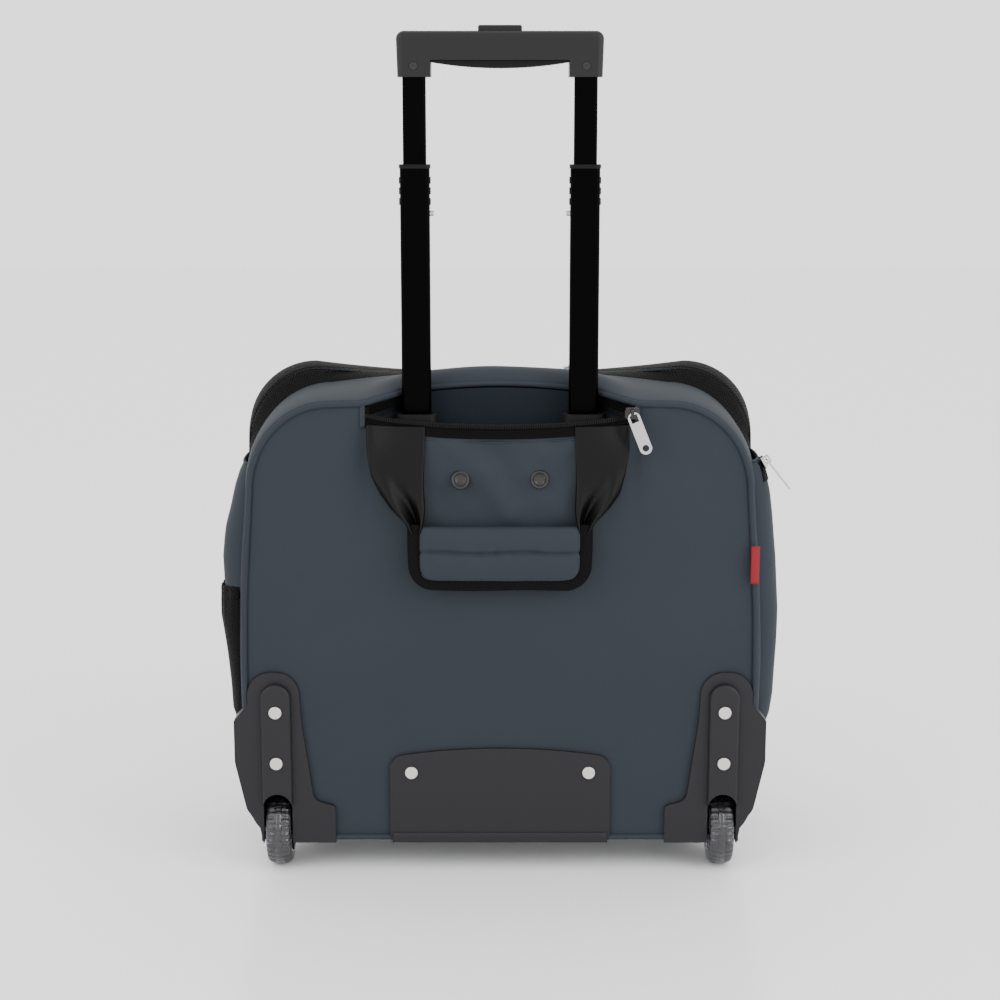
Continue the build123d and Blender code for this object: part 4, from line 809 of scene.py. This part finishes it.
def strap_row(side, t):
    """A cross-section of a strap: flat where it is sewn on, folded into a valley at the grip."""
    z = 364.5 - (364.5 - 282.0) * t
    wide = 103.5 if side < 0 else 100.5
    reach = [70, 74, 84.5, 92.5, wide - 4.5, wide - 1, wide]
    outer = float(np.interp(z, [282, 289, 300, 312, 326, 345, 366], reach))
    inner = float(np.interp(z, [282, 292, 300, 322, 361, 366], [61, 58.5, 57.6, 58.6, 57.6, 57.6]))
    gather = ease((t - 0.25) / 0.65)
    valley_at = 0.62 - 0.22 * gather
    row = []
    for k in range(STRAP_COLS):
        s = k / (STRAP_COLS - 1)
        x = inner + (outer - inner) * s
        valley = 7.5 * gather * math.exp(-(((s - valley_at) / 0.13) ** 2))
        ridge = 5.0 * gather * math.exp(-(((s - 0.80) / 0.15) ** 2))
        inner_ridge = 3.6 * gather * math.exp(-(((s - 0.10) / 0.14) ** 2))
        roll = 7.0 * gather * max(s - 0.88, 0.0) / 0.12
        sag = 1.6 * math.sin(math.pi * t) * math.sin(math.pi * s)
        rest = min(panel_y(side * x, z), REAR_Y - 3.0) - 1.6
        hang = rest + (-107.0 - rest) * ease(t / 0.35)
        row.append((side * x, hang + valley * 0.6 - ridge - inner_ridge + roll * 0.55 - sag, z))
    return row


for side, tag in SIDE_NAMES:
    rows = [strap_row(side, i / (STRAP_ROWS - 1)) for i in range(STRAP_ROWS)]
    gone = ("carry_straps",) if side > 0 else ()
    obj = grid(f"carry_strap_{tag}", rows, "carry_handle", "webbing", flip=side < 0, replaces=gone)
    thicken(obj, 1.6, inward=False)

PAD_X, PAD_LOW, PAD_HIGH = 63.0, 244.5, 287.0
PAD_SEAM = 266.5
PAD_MIDDLE = -106.7


def pad_rows(face):
    """Stuffed face of the padded grip: two rolls either side of a stitched seam, with small puckers."""
    rows = []
    for z in np.linspace(PAD_LOW - 2.0, PAD_HIGH, 44):
        row = []
        for x in np.linspace(-PAD_X - 1.0, PAD_X + 1.0, 110):
            u, v = x / (PAD_X + 1.0), (z - PAD_LOW + 2.0) / (PAD_HIGH - PAD_LOW + 2.0)
            inside = abs(u) < 1 and 0 < v < 1
            rim = (1 - abs(u) ** 6) ** 0.5 * (1 - abs(2 * v - 1) ** 3.2) ** 0.5 if inside else 0.0
            bow = 1.2 * math.sin(2 * math.pi * u) if face > 0 else 0.0
            seam = math.exp(-(((z - PAD_SEAM - 0.6 * bow) / 1.6) ** 2))
            near = math.exp(-(((z - PAD_SEAM) / 7.0) ** 2))
            pucker = 0.45 * math.sin(x / 2.6 + 1.7 * math.sin(x / 11.0)) * near
            y = face * (0.8 + 5.9 * rim * (1 - 0.42 * seam) - 0.6 * near * rim + pucker * rim)
            y += face * 0.7 * rim * wobble(x, face * 3.0, z, 16.0, 2.0)
            top_fold = -1.4 * ease((z - 281.0) / 6.0)
            row.append((x, PAD_MIDDLE - y, z + top_fold * 0.2))
        rows.append(row)
    return rows


verts_rear = np.array(pad_rows(1.0))
verts_front = np.array(pad_rows(-1.0))


def build_pad():
    n, m = verts_rear.shape[:2]
    verts = np.vstack([verts_rear.reshape(-1, 3), verts_front.reshape(-1, 3)])
    off = n * m
    faces = grid_faces(n, m)
    faces += [tuple(off + v for v in f[::-1]) for f in grid_faces(n, m)]
    rim = [(0, j) for j in range(m)] + [(i, m - 1) for i in range(1, n)]
    rim += [(n - 1, j) for j in range(m - 2, -1, -1)] + [(i, 0) for i in range(n - 2, 0, -1)]
    loop = [i * m + j for i, j in rim]
    for a, b in zip(loop, loop[1:] + loop[:1]):
        faces.append((b, a, off + a, off + b))
    uv = np.vstack([arc_lengths(verts_rear), arc_lengths(verts_front)])
    return piece("carry_pad", verts, faces, "carry_handle", "bag_cloth", uv=uv, replaces=("handle_pad",))


pad = build_pad()

corner = 15.0  # radius of the binding's lower corners
edge = [(-66.5, 288.5), (-66.5, 270.0), (-66.0, 257.0)]
for k in range(9):
    a = math.pi / 2 * k / 8
    edge.append((-66.0 + corner * (1 - math.cos(a)), 256.5 - corner * math.sin(a)))
edge += [(-x, z) for x, z in edge[::-1]]
edge = resample([(x, PAD_MIDDLE, z) for x, z in edge], 240)
bend = 0.6 * np.sin(edge[:, 0] / 13.0)
edge[:, 1] += 0.4 * bend
edge[:, 2] += 0.5 * bend * (np.abs(edge[:, 0]) < 55)
# section of the binding: the folded edge outside, and a flank on each face of the pad
FLANK = [(5.2, 1.6), (5.0, 2.9), (4.0, 3.6), (1.5, 4.1), (-1.5, 4.1), (-3.9, 3.4), (-5.3, 2.0)]
fold_over = [(a, -b) for a, b in FLANK] + [(-5.8, 0.0)] + FLANK[::-1]
sweep("carry_binding", edge, fold_over, (0, -1, 0), "carry_handle", "black_cloth", mat=M_BLACK)


def stitches(name, path, up, body, pitch=3.0, length=2.0, r=0.28, mat=None):
    """Short raised stitches along a line."""
    path = np.asarray(path, float)
    n = max(int(np.linalg.norm(np.diff(path, axis=0), axis=1).sum() / pitch), 2)
    pts = resample(path, n)
    ups = np.broadcast_to(np.asarray(up, float), pts.shape)
    tangent, side, top = frames_along(pts, ups)
    verts, faces = [], []
    ring = [(math.cos(a), math.sin(a)) for a in (0.3, 1.35, 2.4, 3.44, 4.5, 5.5)]
    for p, t, s, u in zip(pts, tangent, side, top):
        base = len(verts)
        for at, share, h in ((-0.5, 0.35, -0.2), (-0.25, 1.0, 0.1), (0.25, 1.0, 0.1), (0.5, 0.35, -0.2)):
            verts += [p + t * at * length + s * r * share * a + u * (r * share * b + h * r) for a, b in ring]
        for k in range(3):
            for q in range(6):
                w = (q + 1) % 6
                faces.append((base + 6 * k + q, base + 6 * k + w, base + 6 * k + 6 + w, base + 6 * k + 6 + q))
    return piece(name, verts, faces, body, "black_cloth", mat or M_BLACK)


seam_line = []
for x in np.linspace(-60, 60, 120):
    row = int(np.argmin(np.abs(verts_rear[:, 0, 2] - PAD_SEAM)))
    col = int(np.argmin(np.abs(verts_rear[row, :, 0] - x)))
    seam_line.append(verts_rear[row, col] - np.array([0, 0.15, 0]))
stitches("carry_pad_stitches", seam_line, (0, -1, 0), "carry_handle", mat=M_CLOTH)
centre = np.array([0.0, PAD_MIDDLE, 285.0])
inner_edge = edge + (centre - edge) / np.linalg.norm(centre - edge, axis=1)[:, None] * 3.6
inner_edge[:, 1] = PAD_MIDDLE - 3.75
stitches("carry_binding_stitches", inner_edge[4:-4], (0, -1, 0), "carry_handle", pitch=2.8)


# ---------------------------------------------------------------- front pocket
def rounded_rect(hw, low, high, r, n=12):
    pts = []
    upper = ((hw - r, high - r, 0), (-hw + r, high - r, 90))
    lower = ((-hw + r, low + r, 180), (hw - r, low + r, 270))
    for cx, cz, a0 in upper + lower:
        for k in range(n):
            a = math.radians(a0 + 90 * k / (n - 1))
            pts.append((cx + r * math.cos(a), cz + r * math.sin(a)))
    return pts


POCKET_HALF, POCKET_Z, POCKET_RISE = 167.0, 167.0, 100.5  # half width, middle height, half height
low, high = POCKET_Z - POCKET_RISE, POCKET_Z + POCKET_RISE
loop = resample([(x, 0.0, z) for x, z in rounded_rect(POCKET_HALF, low, high, 26.0)], 300, closed=True)
# the rounded edge of the pocket: how far in, and how far out from the panel
EDGE = [(0, 0.4), (0, 6), (0.4, 12), (0.9, 18), (1.8, 23), (3.4, 26.5), (6.2, 29), (10, 30.2), (16, 30.7)]
rows = []
for inset, up in EDGE:
    scale = np.array([(POCKET_HALF - inset) / POCKET_HALF, 1.0, (POCKET_RISE - inset) / POCKET_RISE])
    ring = (loop - np.array([0, 0, POCKET_Z])) * scale + np.array([0, FRONT_Y + up, POCKET_Z])
    rows.append(ring)
last = rows[-1]
for k in range(1, 20):
    r = 1 - k / 20 * 0.99
    middle = np.array([0, last[0, 1], POCKET_Z])
    ring = (last - middle) * np.array([r, 1, r]) + middle
    ring[:, 1] += 2.0 * (1 - r**2)
    rows.append(ring)
rows = np.array(rows)
for i in range(2, len(rows)):
    for j in range(rows.shape[1]):
        x, y, z = rows[i, j]
        rows[i, j, 1] += 1.0 * wobble(x, 0, z, 48.0, 11.0) * min(1.0, (i - 2) / 6)
obj = grid("front_pocket_cloth", rows, "front_section", "bag_cloth", closed=True, replaces=("front_pocket",))
close_disc(obj)


def front_face_y(x, z):
    d = np.hypot(rows[8:, :, 0] - x, rows[8:, :, 2] - z)
    i, j = np.unravel_index(np.argmin(d), d.shape)
    return float(rows[8 + i, j, 1])


FRONT_ZIP_Z = 222.0
strip = []
for z in np.linspace(FRONT_ZIP_Z - 9.0, FRONT_ZIP_Z + 9.0, 7):
    lift = 0.7 - 0.02 * abs(z - FRONT_ZIP_Z)
    strip.append([(x, front_face_y(x, FRONT_ZIP_Z) + lift, z) for x in np.linspace(-139, 139, 90)])
gone = ("front_pocket_zip",)
obj = grid("front_zip_tape", strip, "front_section", "black_cloth", mat=M_TAPE, replaces=gone, flip=True)
thicken(obj, 0.8)
run = [(x, front_face_y(x, FRONT_ZIP_Z) + 1.0, FRONT_ZIP_Z) for x in np.linspace(-136, 136, 90)]
teeth("front_zip_teeth", run, (0, 1, 0), 0.0, "front_section", size=(0.5, 1.5, 0.7))
for z in (232.5, 211.5):
    run = [(x, front_face_y(x, z) + 0.6, z) for x in np.linspace(-141, 141, 90)]
    sweep(f"front_zip_fold_{int(z)}", run, round_section(1.2, 8), (0, 1, 0), "front_section", "bag_cloth")
border = resample(rows[0], 300, closed=True)
sweep(
    "front_pocket_edge", border, round_section(1.4, 8), (0, 1, 0), "front_section", "bag_cloth", closed=True,
)


# ---------------------------------------------------------------- wheels: clear ribbed tyres
TREAD_HALF = [(2.2, 29.9), (2.6, 28.9), (3.2, 28.9), (3.6, 29.8), (4.6, 29.7), (7.6, 28.7), (9.4, 27.0)]
TREAD_RIBS = 32


def tyre(side, tag):
    """Clear tyre: ribs across the tread, and two fine grooves round it."""
    n = 288
    flank = TREAD_HALF + [(10.0, 24.5)]
    profile = [(-9.9, 20.0)] + [(-x, r) for x, r in flank[::-1]] + flank + [(9.9, 20.0)]
    rows = []
    for along, radius in profile:
        row = []
        for k in range(n):
            a = 2 * math.pi * k / n
            rib = 1.1 * (0.5 + 0.5 * math.cos(TREAD_RIBS * a)) ** 2 * ease((radius - 24.0) / 3.0)
            rib *= 1.0 if abs(along) > 3.3 else 0.25
            r = radius - rib
            row.append((side * WHEEL_X + along, WHEEL_Y + r * math.cos(a), WHEEL_Z + r * math.sin(a)))
        rows.append(row)
    rows.append(rows[0])
    gone = (f"wheel_tyre_{tag}",)
    return grid(f"tyre_{tag}", rows, f"wheel_{tag}", "tyre_clear", closed=True, replaces=gone)


# dark rim inside the tyre, as distance along the axle and radius
BAND = [(-7.6, 20.4), (-7.6, 24.2), (-6.6, 25.2), (6.6, 25.2), (7.6, 24.2), (7.6, 20.4), (-7.6, 20.4)]
for side, tag in SIDE_NAMES:
    tyre(side, tag)
    middle = (side * WHEEL_X, WHEEL_Y, WHEEL_Z)
    lathe(f"tyre_band_{tag}", BAND, middle, (1, 0, 0), f"wheel_{tag}", "wheel_plastic", 96, angle=30)

# fold along the foot of the kick plate
lip = resample([(-86.3, -95.4, 28.4), (86.3, -95.4, 28.4)], 40)
sweep("kick_plate_fold", lip, flat_section(8.4, 1.3, 0.5), (0, -1, 0), "case", "guard_plastic")


# ---------------------------------------------------------------- back board
board_edge = at_depth(outline(202, 193, 32, 370, 374, 22, 60, 70), -59.0)
rows = np.array([board_edge * (1, 1, k) + (0, 0, 200 * (1 - k)) for k in np.linspace(1.0, 0.02, 8)])
rows[:, :, 0] *= np.linspace(1.0, 0.02, 8)[:, None]
board = grid("back_board_sheet", rows, "case", "board", closed=True, replaces=("back_board",))
close_disc(board)
modify(board, "SOLIDIFY", thickness=0.0018, offset=0.0)


# ---------------------------------------------------------------- CAD parts as they are
BODY_SLOT = {s["node"]: s["material_slot"] for s in frame["record"]["subparts"]}
for name, node in NODES.items():
    if node.hide_render:
        continue
    node.data.materials.clear()
    node.data.materials.append(SLOTS[BODY_SLOT[name]])
    smooth(node.data, 32)


# ---------------------------------------------------------------- stage, lights and camera
def area_light(name, place, target, size, power, color=(1, 1, 1)):
    data = bpy.data.lights.new(name, "AREA")
    data.shape = "RECTANGLE"
    data.size, data.size_y = size
    data.energy = power
    data.color = color
    obj = bpy.data.objects.new(name, data)
    obj.location = place
    obj.rotation_euler = (Vector(target) - Vector(place)).to_track_quat("-Z", "Y").to_euler()
    bpy.context.scene.collection.objects.link(obj)
    return obj


floor_mesh = bpy.data.meshes.new("floor")
floor_mesh.from_pydata([(-6, -6, 0), (6, -6, 0), (6, 6, 0), (-6, 6, 0)], [], [(0, 1, 2, 3)])
floor = bpy.data.objects.new("floor", floor_mesh)
bpy.context.scene.collection.objects.link(floor)
floor.location.z = -0.0002
floor_mesh.materials.append(plain("floor_white", (0.93, 0.93, 0.93), 0.22, Specular_IOR_Level=0.35))

world = bpy.data.worlds.new("studio")
bpy.context.scene.world = world
world.use_nodes = True
world.node_tree.nodes["Background"].inputs["Color"].default_value = (1, 1, 1, 1)
world.node_tree.nodes["Background"].inputs["Strength"].default_value = 1.9

area_light("key_left", (-1.7, -1.5, 1.5), (0, 0, 0.25), (1.2, 1.4), 16)
area_light("key_right", (1.8, -1.3, 1.2), (0, 0, 0.25), (1.2, 1.4), 24)

cam_data = bpy.data.cameras.new("camera")
cam = bpy.data.objects.new("camera", cam_data)
bpy.context.scene.collection.objects.link(cam)
cam.location = (0.0, -1.570, 0.603)
cam.rotation_euler = (math.radians(90.0 - 11.41), 0.0, 0.0)
cam_data.sensor_width = 36.0
cam_data.lens = 69.75
bpy.context.scene.camera = cam
